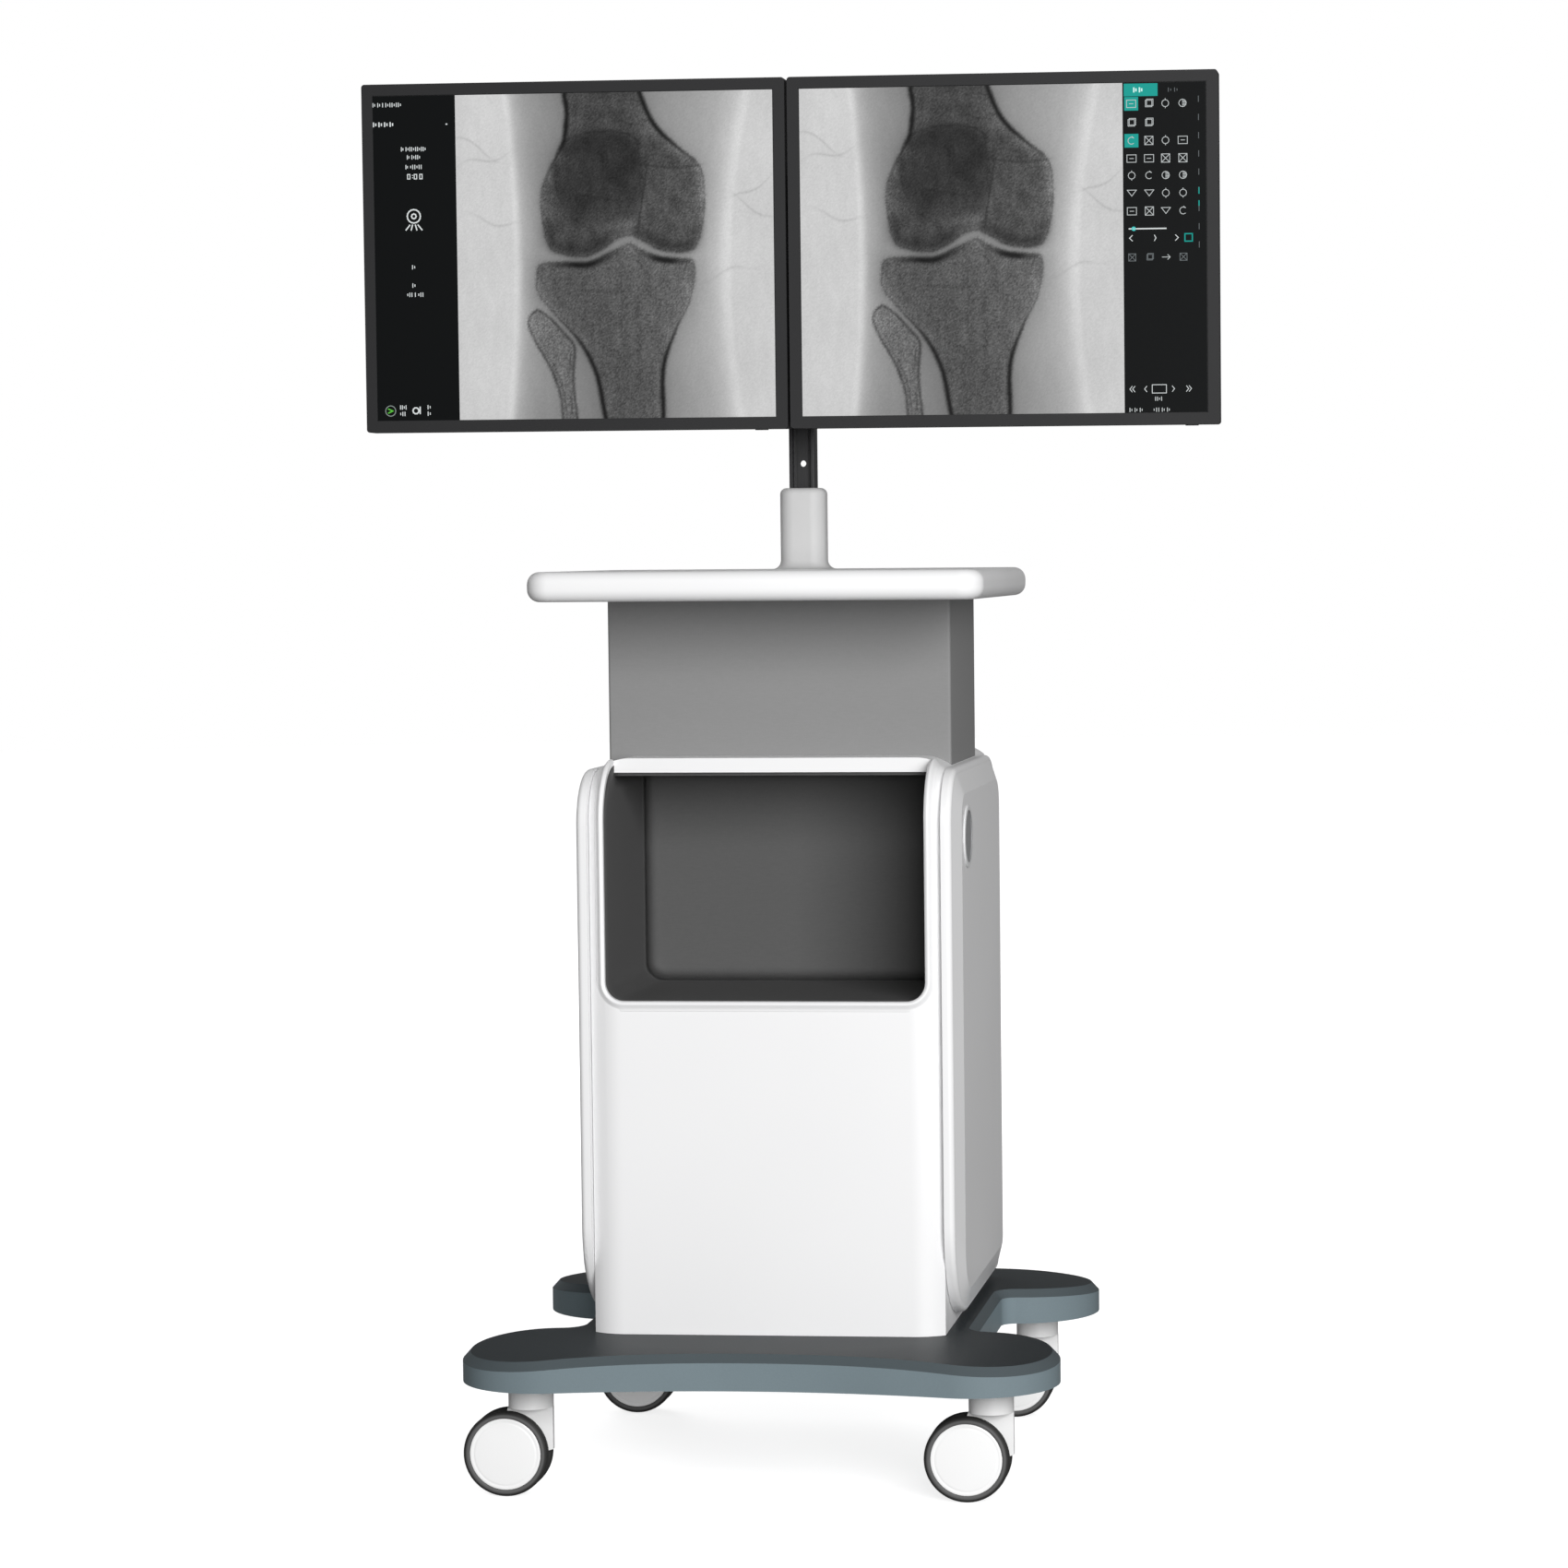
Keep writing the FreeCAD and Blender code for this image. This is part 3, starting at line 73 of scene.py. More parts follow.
class Graph:
    # a material's node tree with its Principled shader ready to be fed
    def __init__(self, name):
        self.material = bpy.data.materials.new(name)
        self.material.use_nodes = True
        self.tree = self.material.node_tree
        self.shader = self.tree.nodes["Principled BSDF"]
        self.place = self.node("TexCoord", output="Object")

    def node(self, kind, settings=None, inputs=None, output=0):
        made = self.tree.nodes.new("ShaderNode" + kind)
        for key, value in (settings or {}).items():
            if key == "stops":
                while len(made.color_ramp.elements) < len(value):
                    made.color_ramp.elements.new(0.5)
                for stop, (where, colour) in zip(made.color_ramp.elements, value):
                    stop.position = where
                    stop.color = (*colour, 1) if len(colour) == 3 else colour
            else:
                setattr(made, key, value)
        for key, value in (inputs or {}).items():
            self.feed(made.inputs[key], value)
        return Wire(self, made.outputs[output])

    def feed(self, socket, value):
        if isinstance(value, Wire):
            self.tree.links.new(value.socket, socket)
        else:
            socket.default_value = value

    def set(self, **sockets):
        for key, value in sockets.items():
            self.feed(self.shader.inputs[key.replace("_", " ")], value)

    def stretched(self, x, y, z):
        return self.node("Mapping", {}, {"Vector": self.place, "Scale": (x, y, z)})

    def noise(self, scale, detail=3.0, rough=0.5, vector=None):
        inputs = {"Vector": vector or self.place, "Scale": scale, "Detail": detail, "Roughness": rough}
        return self.node("TexNoise", {}, inputs)

    def mix(self, amount, first, second):
        first, second = [(*c, 1) if isinstance(c, tuple) else c for c in (first, second)]
        return self.node("Mix", {"data_type": "RGBA"}, {0: amount, 6: first, 7: second}, 2)

    def part(self, vector, axis):
        return self.node("SeparateXYZ", {}, {"Vector": vector}, axis)

    def bump(self, height, distance, under=None):
        inputs = {"Height": height, "Distance": distance}
        if under:
            inputs["Normal"] = under
        return self.node("Bump", {}, inputs)


def mouldedFinish(name, light, dark, rough, grain, grainDepth, coat=0.0, cloud=6.0, specular=0.5):
    # moulded or painted skin: slow cloudiness in tone, a fine even grain in height and gloss
    g = Graph(name)
    cloudy = g.noise(cloud, 2.0)
    fine = g.noise(grain, 2.0, 0.6)
    tone = g.mix(cloudy * 0.7 + fine * 0.3, dark, light)
    g.set(Base_Color=tone, Roughness=rough + (cloudy - 0.5) * 0.08 + (fine - 0.5) * 0.06)
    g.set(Coat_Weight=coat, Coat_Roughness=0.12, Specular_IOR_Level=specular)
    g.set(Normal=g.bump(fine, grainDepth))
    return g.material


def wovenPaint(name, light, dark, rough, pitch, depth, eased=0.0):
    # textured powder coat: short horizontal threads crossed by finer upright ones; eased is the radius
    # to which inner corners are shaded round
    g = Graph(name)
    across = g.noise(1.0, 3.0, 0.6, g.stretched(pitch * 0.35, pitch * 0.35, pitch * 2.4))
    upright = g.noise(1.0, 2.0, 0.6, g.stretched(pitch * 2.0, pitch * 2.0, pitch * 0.5))
    cloudy = g.noise(5.0, 2.0)
    weave = across * 0.65 + upright * 0.35
    rounded = g.node("Bevel", {"samples": 6}, {"Radius": eased}) if eased else None
    g.set(Base_Color=g.mix(weave * 0.75 + cloudy * 0.25, dark, light))
    g.set(Roughness=rough + (weave - 0.5) * 0.15, Specular_IOR_Level=0.3)
    g.set(Normal=g.bump(weave, depth, rounded))
    return g.material


def metalFinish(name, tone, rough, stretch, metal=1.0):
    # metal with a drawn grain: noise pulled out along one axis
    g = Graph(name)
    drawn = g.noise(1.0, 4.0, 0.6, g.stretched(*stretch))
    cloudy = g.noise(9.0, 2.0)
    low = tuple(c * 0.8 for c in tone)
    g.set(Base_Color=g.mix(drawn * 0.6 + cloudy * 0.4, low, tone), Metallic=metal)
    g.set(Roughness=rough + (drawn - 0.5) * 0.2, Normal=g.bump(drawn, 0.00004))
    return g.material


def neutral(level, cool=0.0):
    # neutral tone, with a little more blue where cool is given
    return (level, level, level + cool)


mouldedLooks = {
    "shellWhite": {"light": neutral(0.84, 0.005), "dark": neutral(0.80, 0.005), "rough": 0.42, "grain": 900,
                   "grainDepth": 0.00002, "coat": 0.1},
    "panelPearl": {"light": neutral(0.83, 0.005), "dark": neutral(0.79, 0.005), "rough": 0.40, "grain": 1100,
                   "grainDepth": 0.000015, "coat": 0.1},
    "sleeveGrey": {"light": neutral(0.55), "dark": neutral(0.50), "rough": 0.55, "grain": 900,
                   "grainDepth": 0.00002, "specular": 0.25},
    "worktopWhite": {"light": neutral(0.85, 0.005), "dark": neutral(0.81, 0.005), "rough": 0.4, "grain": 800,
                     "grainDepth": 0.00002, "coat": 0.1},
    "castorWhite": {"light": neutral(0.88), "dark": neutral(0.80), "rough": 0.38, "grain": 900,
                    "grainDepth": 0.00002, "coat": 0.1, "cloud": 20.0},
    "hubWhite": {"light": neutral(0.93), "dark": neutral(0.89), "rough": 0.3, "grain": 900,
                 "grainDepth": 0.00001, "coat": 0.2, "cloud": 20.0},
    "blackPlastic": {"light": neutral(0.022, 0.001), "dark": neutral(0.014, 0.001), "rough": 0.5, "grain": 1400,
                     "grainDepth": 0.00003},
    "bezelCharcoal": {"light": neutral(0.030, 0.001), "dark": neutral(0.022, 0.001), "rough": 0.5, "grain": 1500,
                      "grainDepth": 0.00003, "specular": 0.12},
    "computerGrey": {"light": (0.20, 0.21, 0.22), "dark": (0.16, 0.17, 0.18), "rough": 0.5, "grain": 900,
                     "grainDepth": 0.00003},
}
wovenLooks = {
    "linerGrey": {"light": neutral(0.112), "dark": neutral(0.073), "rough": 0.62, "pitch": 420, "depth": 0.00006,
                  "eased": 0.018},
    "neckGrey": {"light": neutral(0.255), "dark": neutral(0.200), "rough": 0.6, "pitch": 420, "depth": 0.00005},
}
metalLooks = {
    "zincSteel": {"tone": (0.62, 0.63, 0.65), "rough": 0.38, "stretch": (60, 60, 500)},
    "postBlack": {"tone": neutral(0.014, 0.001), "rough": 0.46, "stretch": (900, 900, 25), "metal": 0.25},
    "windingIron": {"tone": (0.42, 0.22, 0.10), "rough": 0.45, "stretch": (900, 900, 900)},
}
finishes = {}
for make, looks in ((mouldedFinish, mouldedLooks), (wovenPaint, wovenLooks), (metalFinish, metalLooks)):
    for name, look in looks.items():
        finishes[name] = make(name, **look)


# tones by facing: the upright band's tone is painted as lit, the chamfer's as half shade, the top's as shade;
# dust is a random cloud over them
slateLook = {"skirt": (0.200, 0.255, 0.280), "chamferHalfShade": (0.085, 0.104, 0.113), "shadedUpper": (0.019, 0.024, 0.027),
             "dust": (0.038, 0.046, 0.050), "rough": 0.42, "specular": 0.1}


def slateFacingShadeFinish(look):
    # slate moulding with painted shade by facing: the matt upper skin is painted dark as shade, the band round
    # the upright edge painted pale as lit, and the chamfer between them a painted half shade, told apart by how
    # far the surface faces up
    g = Graph("slate")
    facing = g.part(g.node("TexCoord", output="Normal"), "Z")
    cloudy = g.noise(8.0, 2.0)
    fine = g.noise(700, 2.0, 0.6)
    stops = [(0.30, look["skirt"]), (0.55, look["chamferHalfShade"]), (0.80, look["chamferHalfShade"]), (0.93, look["shadedUpper"])]
    facingShade = g.node("ValToRGB", {"stops": stops}, {"Fac": facing + (cloudy - 0.5) * 0.02}, "Color")
    g.set(Base_Color=g.mix(cloudy * 0.25 + fine * 0.12, facingShade, look["dust"]))
    g.set(Roughness=look["rough"] + (fine - 0.5) * 0.08, Specular_IOR_Level=look["specular"])
    g.set(Normal=g.bump(fine, 0.00002))
    return g.material


badgeLook = {"rim": (0.72, 0.725, 0.73), "middle": (0.27, 0.275, 0.28), "brushed": (0.12, 0.12, 0.13),
             "middleRadius": 0.0238, "edge": 0.0003, "rough": 0.42}


def badgeFinish(look):
    # round badge: satin grey middle inside a pale rim, told apart by the distance from the badge's axis
    g = Graph("badgeTwoTone")
    low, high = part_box("side_badges")
    middle = (0, -(low.y + high.y) / 2, -(low.z + high.z) / 2)
    centred = g.node("Mapping", {}, {"Vector": g.place, "Location": middle})
    sideways, upward = g.part(centred, "Y"), g.part(centred, "Z")
    away = (sideways * sideways + upward * upward) ** 0.5
    brushed = g.noise(1.0, 3.0, 0.6, g.stretched(200, 700, 60))
    ring = g.node("MapRange", {}, {"Value": away, "From Min": look["middleRadius"] - look["edge"],
                                   "From Max": look["middleRadius"] + look["edge"]})
    tone = g.mix(ring, look["middle"], look["rim"])
    g.set(Base_Color=g.mix(brushed * 0.12, tone, look["brushed"]))
    g.set(Roughness=look["rough"] + (brushed - 0.5) * 0.12, Normal=g.bump(brushed, 0.00002))
    return g.material


rubberLook = {"tread": neutral(0.012), "wall": neutral(0.105, 0.001), "dust": (0.08, 0.078, 0.074), "rough": 0.62,
              "specular": 0.3}


def rubberFinish(look):
    # tyre: black tread, a paler side wall where the "wall" attribute rises to one
    g = Graph("tyreRubber")
    wall = g.node("Attribute", {"attribute_name": "wall"}, {}, "Fac")
    dust = g.noise(160, 4.0, 0.65)
    fine = g.noise(1400, 2.0)
    tone = g.mix(wall, look["tread"], look["wall"])
    g.set(Base_Color=g.mix(dust * 0.25, tone, look["dust"]), Roughness=look["rough"] + (dust - 0.5) * 0.2)
    g.set(Normal=g.bump(fine, 0.00003), Specular_IOR_Level=look["specular"])
    return g.material


glassLook = {"front": (0.002, 0.002, 0.002, 1), "rough": 0.5, "specular": 0.06, "glow": 1.0}


def screenFinish(look):
    # lit picture: the colour attribute glows through a matt front
    g = Graph("screenPicture")
    shown = g.node("Attribute", {"attribute_name": "picture"}, {}, "Color")
    haze = g.noise(300, 2.0)
    g.set(Base_Color=look["front"], Roughness=look["rough"] + (haze - 0.5) * 0.06)
    g.set(Specular_IOR_Level=look["specular"], Emission_Color=shown, Emission_Strength=look["glow"])
    return g.material


finishes["slate"] = slateFacingShadeFinish(slateLook)
finishes["badgeTwoTone"] = badgeFinish(badgeLook)
finishes["tyreRubber"] = rubberFinish(rubberLook)
finishes["screenPicture"] = screenFinish(glassLook)
print("finishes made:", len(finishes))


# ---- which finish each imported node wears

wearing = {
    "slate": ["base_cover"],
    "zincSteel": ["base_frame", "chassis_frame", "top_plate", "rear_panel_screws", "equipotential_pin",
                  "post_socket", "swivel_pin", "tilt_pins", "vesa_screws_left", "vesa_screws_right"],
    "shellWhite": ["front_shell"],
    "linerGrey": ["storage_liner"],
    "computerGrey": ["computer_unit"],
    "windingIron": ["isolation_transformer"],
    "neckGrey": ["rear_panel", "neck_box"],
    "blackPlastic": ["mains_inlet", "power_rocker", "clamp_knob", "post_cap", "power_button_left",
                     "power_button_right"],
    "panelPearl": ["side_panel_left", "side_panel_right"],
    "sleeveGrey": ["post_collar"],
    "badgeTwoTone": ["side_badges"],
    "worktopWhite": ["worktop"],
    "postBlack": ["monitor_post", "stop_collar", "carriage", "crossbar", "tilt_bracket_left",
                  "tilt_bracket_right"],
    "bezelCharcoal": ["bezel_left", "bezel_right", "monitor_back_left", "monitor_back_right",
                      "lcd_panel_left", "lcd_panel_right"],
}
# edges sharper than this stay crisp, in degrees; the panels' shallow bevels need a finer limit
creaseAngle = {"panelPearl": 10.3, "others": 32}
weldGap = 0.000002
castorNames = ["fl", "fr", "rl", "rr"]
for castor in castorNames:
    wearing.setdefault("castorWhite", []).append("castor_" + castor + "_fork")
    for place in ("front", "rear"):
        wearing.setdefault("hubWhite", []).append("castor_" + castor + "_hub_" + place)
        wearing.setdefault("tyreRubber", []).append("castor_" + castor + "_tyre_" + place)

for finish, members in wearing.items():
    for member in members:
        packed = nodes[member]
        packed.data.materials.clear()
        packed.data.materials.append(finishes[finish])
        packed.data.polygons.foreach_set("use_smooth", [True] * len(packed.data.polygons))
        weld = packed.modifiers.new("weld", "WELD")
        weld.merge_threshold = weldGap
        split = packed.modifiers.new("split", "EDGE_SPLIT")
        split.split_angle = math.radians(creaseAngle.get(finish, creaseAngle["others"]))
print("packed nodes dressed")


# ---- surfaces from arrays

def gridQuads(rows, columns, closeU=False, closeV=False, flip=False):
    # corners of the quads over a grid of points (rows u, columns v); a closed direction joins its last row
    # to its first
    index = np.arange(rows * columns).reshape(rows, columns)
    if closeU:
        index = np.vstack([index, index[:1]])
    if closeV:
        index = np.hstack([index, index[:, :1]])
    corners = [index[:-1, :-1], index[1:, :-1], index[1:, 1:], index[:-1, 1:]]
    if flip:
        corners.reverse()
    return np.stack([c.ravel() for c in corners], axis=1).tolist()


def surface(name, points, finish, body, closeU=False, closeV=False, values=None, flip=False, smooth=True):
    # piece made of one grid of points
    mesh = bpy.data.meshes.new(name)
    mesh.from_pydata(points.reshape(-1, 3), [], gridQuads(*points.shape[:2], closeU, closeV, flip))
    return finishPiece(name, mesh, finish, body, values, smooth)


def finishPiece(name, mesh, finish, body, values=None, smooth=True):
    # mesh with its point values (numbers or colours) and finish, riding on a body
    for key, array in (values or {}).items():
        if array.ndim == 1:
            layer = mesh.attributes.new(key, "FLOAT", "POINT")
            layer.data.foreach_set("value", array.astype(np.float32))
        else:
            layer = mesh.attributes.new(key, "FLOAT_COLOR", "POINT")
            layer.data.foreach_set("color", np.c_[array, np.ones(len(array))].astype(np.float32).ravel())
    mesh.polygons.foreach_set("use_smooth", [smooth] * len(mesh.polygons))
    mesh.materials.append(finishes[finish])
    mesh.update()
    piece = bpy.data.objects.new(name, mesh)
    bpy.context.scene.collection.objects.link(piece)
    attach(piece, body)
    return piece


def hump(offset, width):
    # bell shape: one in the middle, exp(-(offset / width)^2) away from it
    return np.exp(-(offset / width) ** 2)


def spin(profile, centre, turns):
    # a profile of (radius, distance along Y) pairs turned round a Y axis through centre
    angle = np.linspace(0, 2 * np.pi, turns, endpoint=False)[:, None]
    radius, along = profile[None, :, 0], profile[None, :, 1]
    x = centre[0] + radius * np.cos(angle)
    z = centre[2] + radius * np.sin(angle)
    y = centre[1] + along + 0 * angle
    return np.stack([x, y, z], axis=2)


# ---- castor wheels

wheelLook = {"turns": 96, "radius": 0.038, "disc": 0.032, "width": 0.011, "side": 0.004, "stemY": 0.185,
             "treadPoints": 41, "treadStart": 0.0003, "treadGap": 0.0008, "shoulder": 0.0032, "shoulderPower": 5,
             "treadGroove": 0.0007, "grooveAt": (0.34, 0.66), "grooveWidth": 0.035,
             "outerWall": ((0.002, 0.0002), (0.0006, 0.0004), (0, 0.0009)),
             "innerWall": ((0, 0.0008), (0.001, 0.0004), (0.002, 0.0002)), "paleWallPoints": 5,
             "facePoints": 40, "faceStart": 0.0005, "faceGap": 0.0004, "domeRise": 0.0011, "ringGroove": 0.0004,
             "ringAt": 0.9, "ringWidth": 0.02, "rimDrop": 0.0015, "rimFoot": 0.0012, "rimWall": 0.003,
             "recess": 0.0065, "boss": 0.010, "bore": 0.0041}


def tyreProfile(look):
    # round-shouldered tread with two shallow running grooves, side walls sloping in to the disc:
    # crown = radius - shoulder * |2t - 1|^5, less a bell-shaped groove at each groove place
    r, d, w = look["radius"], look["disc"], look["width"]
    t = np.linspace(0, 1, look["treadPoints"])
    across = look["treadStart"] + t * (w - look["treadGap"])
    crown = r - look["shoulder"] * np.abs(2 * t - 1) ** look["shoulderPower"]
    groove = look["treadGroove"] * sum(hump(t - at, look["grooveWidth"]) for at in look["grooveAt"])
    tread = np.stack([crown - groove, across], axis=1)
    outer = [[d + outward, w - back] for outward, back in look["outerWall"]]
    inner = [[d + outward, along] for outward, along in look["innerWall"]]
    return np.vstack([tread, outer, inner])


def hubProfile(look):
    # smooth cover: rise = width - dome * t^2, less a fine bell-shaped groove near the rim; then the rim,
    # the recess behind it and the boss with its bore
    d, w = look["disc"], look["width"]
    t = np.linspace(look["faceStart"], 1, look["facePoints"])
    rise = w - look["domeRise"] * t ** 2 - look["ringGroove"] * hump(t - look["ringAt"], look["ringWidth"])
    face = np.stack([t * (d - look["faceGap"]), rise], axis=1)
    inside, recess, boss = d - look["rimWall"], look["recess"], look["boss"]
    rim = [[d - 0.0001, w - look["rimDrop"]], [d - 0.00005, look["rimFoot"]], [inside, 0.001], [inside, recess]]
    middle = [[boss, recess], [boss, 0.0001], [look["bore"], 0.0001]]
    return np.vstack([face, rim, middle])


def wallShare(look, count):
    # how far each point of the tyre's profile belongs to the paler side wall
    wall = np.zeros(count)
    last = look["treadPoints"]
    wall[last:last + look["paleWallPoints"]] = 1.0
    wall[last - 2:last] = (0.3, 0.9)
    return wall


def castorWheels(look):
    kinds = (("tyre", tyreProfile(look), "tyreRubber", "tyre_black"),
             ("hub", hubProfile(look), "hubWhite", "hub_white"))
    for castor in castorNames:
        low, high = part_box("castor_" + castor + "_tyre_front")
        stemY = -look["stemY"] if castor[0] == "f" else look["stemY"]
        centre = ((low.x + high.x) / 2, stemY, look["radius"])
        for place, facing in (("front", -1), ("rear", 1)):
            for kind, profile, finish, slot in kinds:
                shape = profile.copy()
                shape[:, 1] = facing * (look["side"] + shape[:, 1])
                values = None
                if kind == "tyre":
                    values = {"wall": np.tile(wallShare(look, len(profile)), look["turns"])}
                piece = surface(kind + "Skin_" + castor + "_" + place, spin(shape, centre, look["turns"]), finish,
                                "castor_" + castor + "_wheel_" + place, closeU=True, closeV=kind == "tyre",
                                values=values, flip=facing < 0)
                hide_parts("castor_" + castor + "_" + kind + "_" + place)


castorWheels(wheelLook)
print("castor wheels turned")


# ---- bead round the mouth of the bay

beadLook = {"width": 0.0046, "proud": 0.0024, "skirt": 0.0045, "lean": 2.2, "sink": 0.0012, "halfMouth": 0.1445,
            "mouthLow": 0.4355, "corner": 0.017, "front": -0.1392, "browRadius": 0.055, "top": 0.650,
            "steps": 14, "acrossSteps": 17, "bodyHalf": 0.1588, "rollWidth": 0.028, "rollDepth": 0.010}


def mouthBead(look):
    # rolled bead carried along the mouth: down from the brow on one side, across, and up the other,
    # set back with the rolled sides of the body: drop = R - sqrt(R^2 - (distance past the flat)^2);
    # its height over its width is the sine of a power, so the crest lies near the mouth and the outer
    # side is hollow
    half = look["halfMouth"] + look["width"] / 2
    low = look["mouthLow"] - look["width"] / 2
    springZ = look["top"] - look["browRadius"]
    corner = look["corner"] + look["width"] / 2
    rollRadius = (look["rollWidth"] ** 2 + look["rollDepth"] ** 2) / (2 * look["rollDepth"])
    turn = np.linspace(0, np.pi / 2, look["steps"])[::-1]
    arc = np.linspace(0, np.pi / 2, look["steps"])
    across = np.concatenate([np.full_like(turn, half), half - corner * (1 - np.cos(arc))])
    past = np.clip(across - (look["bodyHalf"] - look["rollWidth"]), 0, None)
    drop = rollRadius - np.sqrt(rollRadius ** 2 - past ** 2)
    lean = np.arcsin(past / rollRadius)
    rise = np.concatenate([turn, 0 * arc])
    reach = look["browRadius"] - drop
    browY = look["front"] + look["browRadius"] - reach * np.cos(rise)
    browZ = springZ + reach * np.sin(rise)
    browZ[look["steps"]:] = low + corner * (1 - np.sin(arc))
    path = np.stack([-across, browY, browZ], axis=1)
    outward = np.stack([-np.sin(lean), -np.cos(lean) * np.cos(rise), np.cos(lean) * np.sin(rise)], axis=1)
    path = np.vstack([path, path[::-1] * [-1, 1, 1]])
    outward = np.vstack([outward, outward[::-1] * [-1, 1, 1]])
    along = np.gradient(path, axis=0)
    along /= np.linalg.norm(along, axis=1)[:, None]
    sideways = np.cross(along, outward)
    sideways /= np.linalg.norm(sideways, axis=1)[:, None]
    ring = np.linspace(0, 1, look["acrossSteps"])
    mouthSide, outerSide = -look["width"] / 2, look["width"] / 2 + look["skirt"]
    swell = outerSide + (mouthSide - outerSide) * ring
    rolled = np.concatenate([past, past[::-1]]) > 0
    lift = np.sin(np.pi * ring ** look["lean"])[None] * look["proud"] \
        - rolled[:, None] * np.clip(swell, 0, None)[None] ** 2 / (2 * rollRadius)
    points = path[:, None] + sideways[:, None] * swell[None, :, None] + outward[:, None] * lift[:, :, None]
    closing = path[:, None] + sideways[:, None] * np.array([mouthSide, outerSide])[None, :, None] \
        - outward[:, None] * look["sink"]
    points = np.concatenate([points, closing], axis=1)
    piece = surface("mouthBead", points, "shellWhite", "trolley", closeV=True)


mouthBead(beadLook)
print("mouth bead laid")


# ---- pictures on the screens

screenLook = {"heights": (0.9600, 1.2600), "pictureGrid": (300, 300), "barGrid": (4, 8), "lift": 0.0004,
              "barTone": (0.030, 0.038, 0.042), "inkLift": 0.0002, "tabLift": 0.0001}
screenPlaces = {"left": {"picture": (-0.310, -0.0125), "bar": (-0.389, -0.310)},
                "right": {"picture": (0.0125, 0.311), "bar": (0.311, 0.387)}}

kneeLook = {"air": 0.81, "skin": 0.73, "flesh": 0.54, "kneecap": 0.34, "speckle": 0.14, "leftSkin": 0.199,
            "rightSkin": 0.846, "skinBlur": 0.005, "fatDepth": 0.05, "foldDark": 0.07, "foldWidth": 0.004,
            "foldReach": 0.07, "boneBlur": 0.0022, "capEdge": 0.006, "darkest": 0.04, "brightest": 0.9}
# each bone: share of the light it holds back, depth of its wall, and where its shaft begins
boneLook = {"femur": {"holds": 0.47, "wall": 0.022, "shaftFrom": 0.82, "shaftBlur": 0.02, "upward": 1},
            "tibia": {"holds": 0.33, "wall": 0.018, "shaftFrom": 0.25, "shaftBlur": 0.03, "upward": -1},
            "fibula": {"holds": 0.22, "wall": 0.010, "shaft": 0.30}}
# folds of the film's cover: place across, place up, slope
filmFolds = ((0.06, 0.84, -0.5), (0.09, 0.80, 0.25), (0.12, 0.61, -0.2), (0.94, 0.64, -0.5), (0.84, 0.44, 0.25),
             (0.93, 0.70, 0.6))

# outlines as listed points: share of the picture's width and height
kneeForms = {
    "femur": [(0.355, 1.06), (0.345, 0.93), (0.332, 0.845), (0.290, 0.765), (0.264, 0.690), (0.270, 0.600),
              (0.292, 0.524), (0.350, 0.499), (0.413, 0.496), (0.468, 0.522), (0.510, 0.549), (0.548, 0.557),
              (0.588, 0.541), (0.640, 0.513), (0.705, 0.504), (0.756, 0.520), (0.780, 0.590), (0.788, 0.690),
              (0.772, 0.775), (0.705, 0.835), (0.635, 0.905), (0.592, 1.000), (0.580, 1.06)],
    "tibia": [(0.248, 0.440), (0.262, 0.479), (0.335, 0.486), (0.413, 0.485), (0.468, 0.507), (0.520, 0.531),
              (0.550, 0.541), (0.580, 0.523), (0.640, 0.499), (0.700, 0.492), (0.752, 0.479), (0.742, 0.370),
              (0.692, 0.262), (0.655, 0.145), (0.640, -0.06), (0.482, -0.06), (0.430, 0.130), (0.380, 0.232),
              (0.308, 0.315), (0.252, 0.385)],
    "fibula": [(0.217, 0.292), (0.228, 0.325), (0.256, 0.341), (0.300, 0.310), (0.345, 0.262), (0.374, 0.220),
               (0.369, 0.120), (0.380, -0.06), (0.330, -0.06), (0.318, 0.060), (0.288, 0.150), (0.240, 0.235)],
    "kneecap": [(0.318, 0.800), (0.345, 0.852), (0.430, 0.880), (0.520, 0.878), (0.572, 0.852), (0.582, 0.760),
                (0.580, 0.672), (0.545, 0.610), (0.460, 0.592), (0.365, 0.622), (0.318, 0.700)],
}


def closedCurve(points, steps=5):
    # closed smooth curve through the points: a cubic between each two, its tangent at a point half the way
    # from the neighbour before to the neighbour after
    p = np.asarray(points, float)
    t = np.linspace(0, 1, steps, endpoint=False)[None, :, None]
    a, b = p[:, None], np.roll(p, -1, 0)[:, None]
    ta = (np.roll(p, -1, 0) - np.roll(p, 1, 0))[:, None] / 2
    tb = (np.roll(p, -2, 0) - p)[:, None] / 2
    h = (2 * t ** 3 - 3 * t ** 2 + 1) * a + (t ** 3 - 2 * t ** 2 + t) * ta
    h = h + (-2 * t ** 3 + 3 * t ** 2) * b + (t ** 3 - t ** 2) * tb
    return h.reshape(-1, 2)


def insideDistance(s, t, outline):
    # signed distance to a closed outline, positive inside: nearest edge, sign from the crossing count
    p = np.stack([s, t], axis=1)[:, None]
    a, b = outline[None], np.roll(outline, -1, 0)[None]
    along = b - a
    k = np.clip(((p - a) * along).sum(2) / (along ** 2).sum(2), 0, 1)
    gap = np.sqrt((((a + k[..., None] * along) - p) ** 2).sum(2)).min(1)
    above = (a[..., 1] > p[..., 1]) != (b[..., 1] > p[..., 1])
    rise = np.where(np.abs(along[..., 1]) < 1e-12, 1e-12, along[..., 1])
    crossing = p[..., 0] < a[..., 0] + (p[..., 1] - a[..., 1]) / rise * along[..., 0]
    odd = (above & crossing).sum(1) % 2 == 1
    return np.where(odd, gap, -gap)


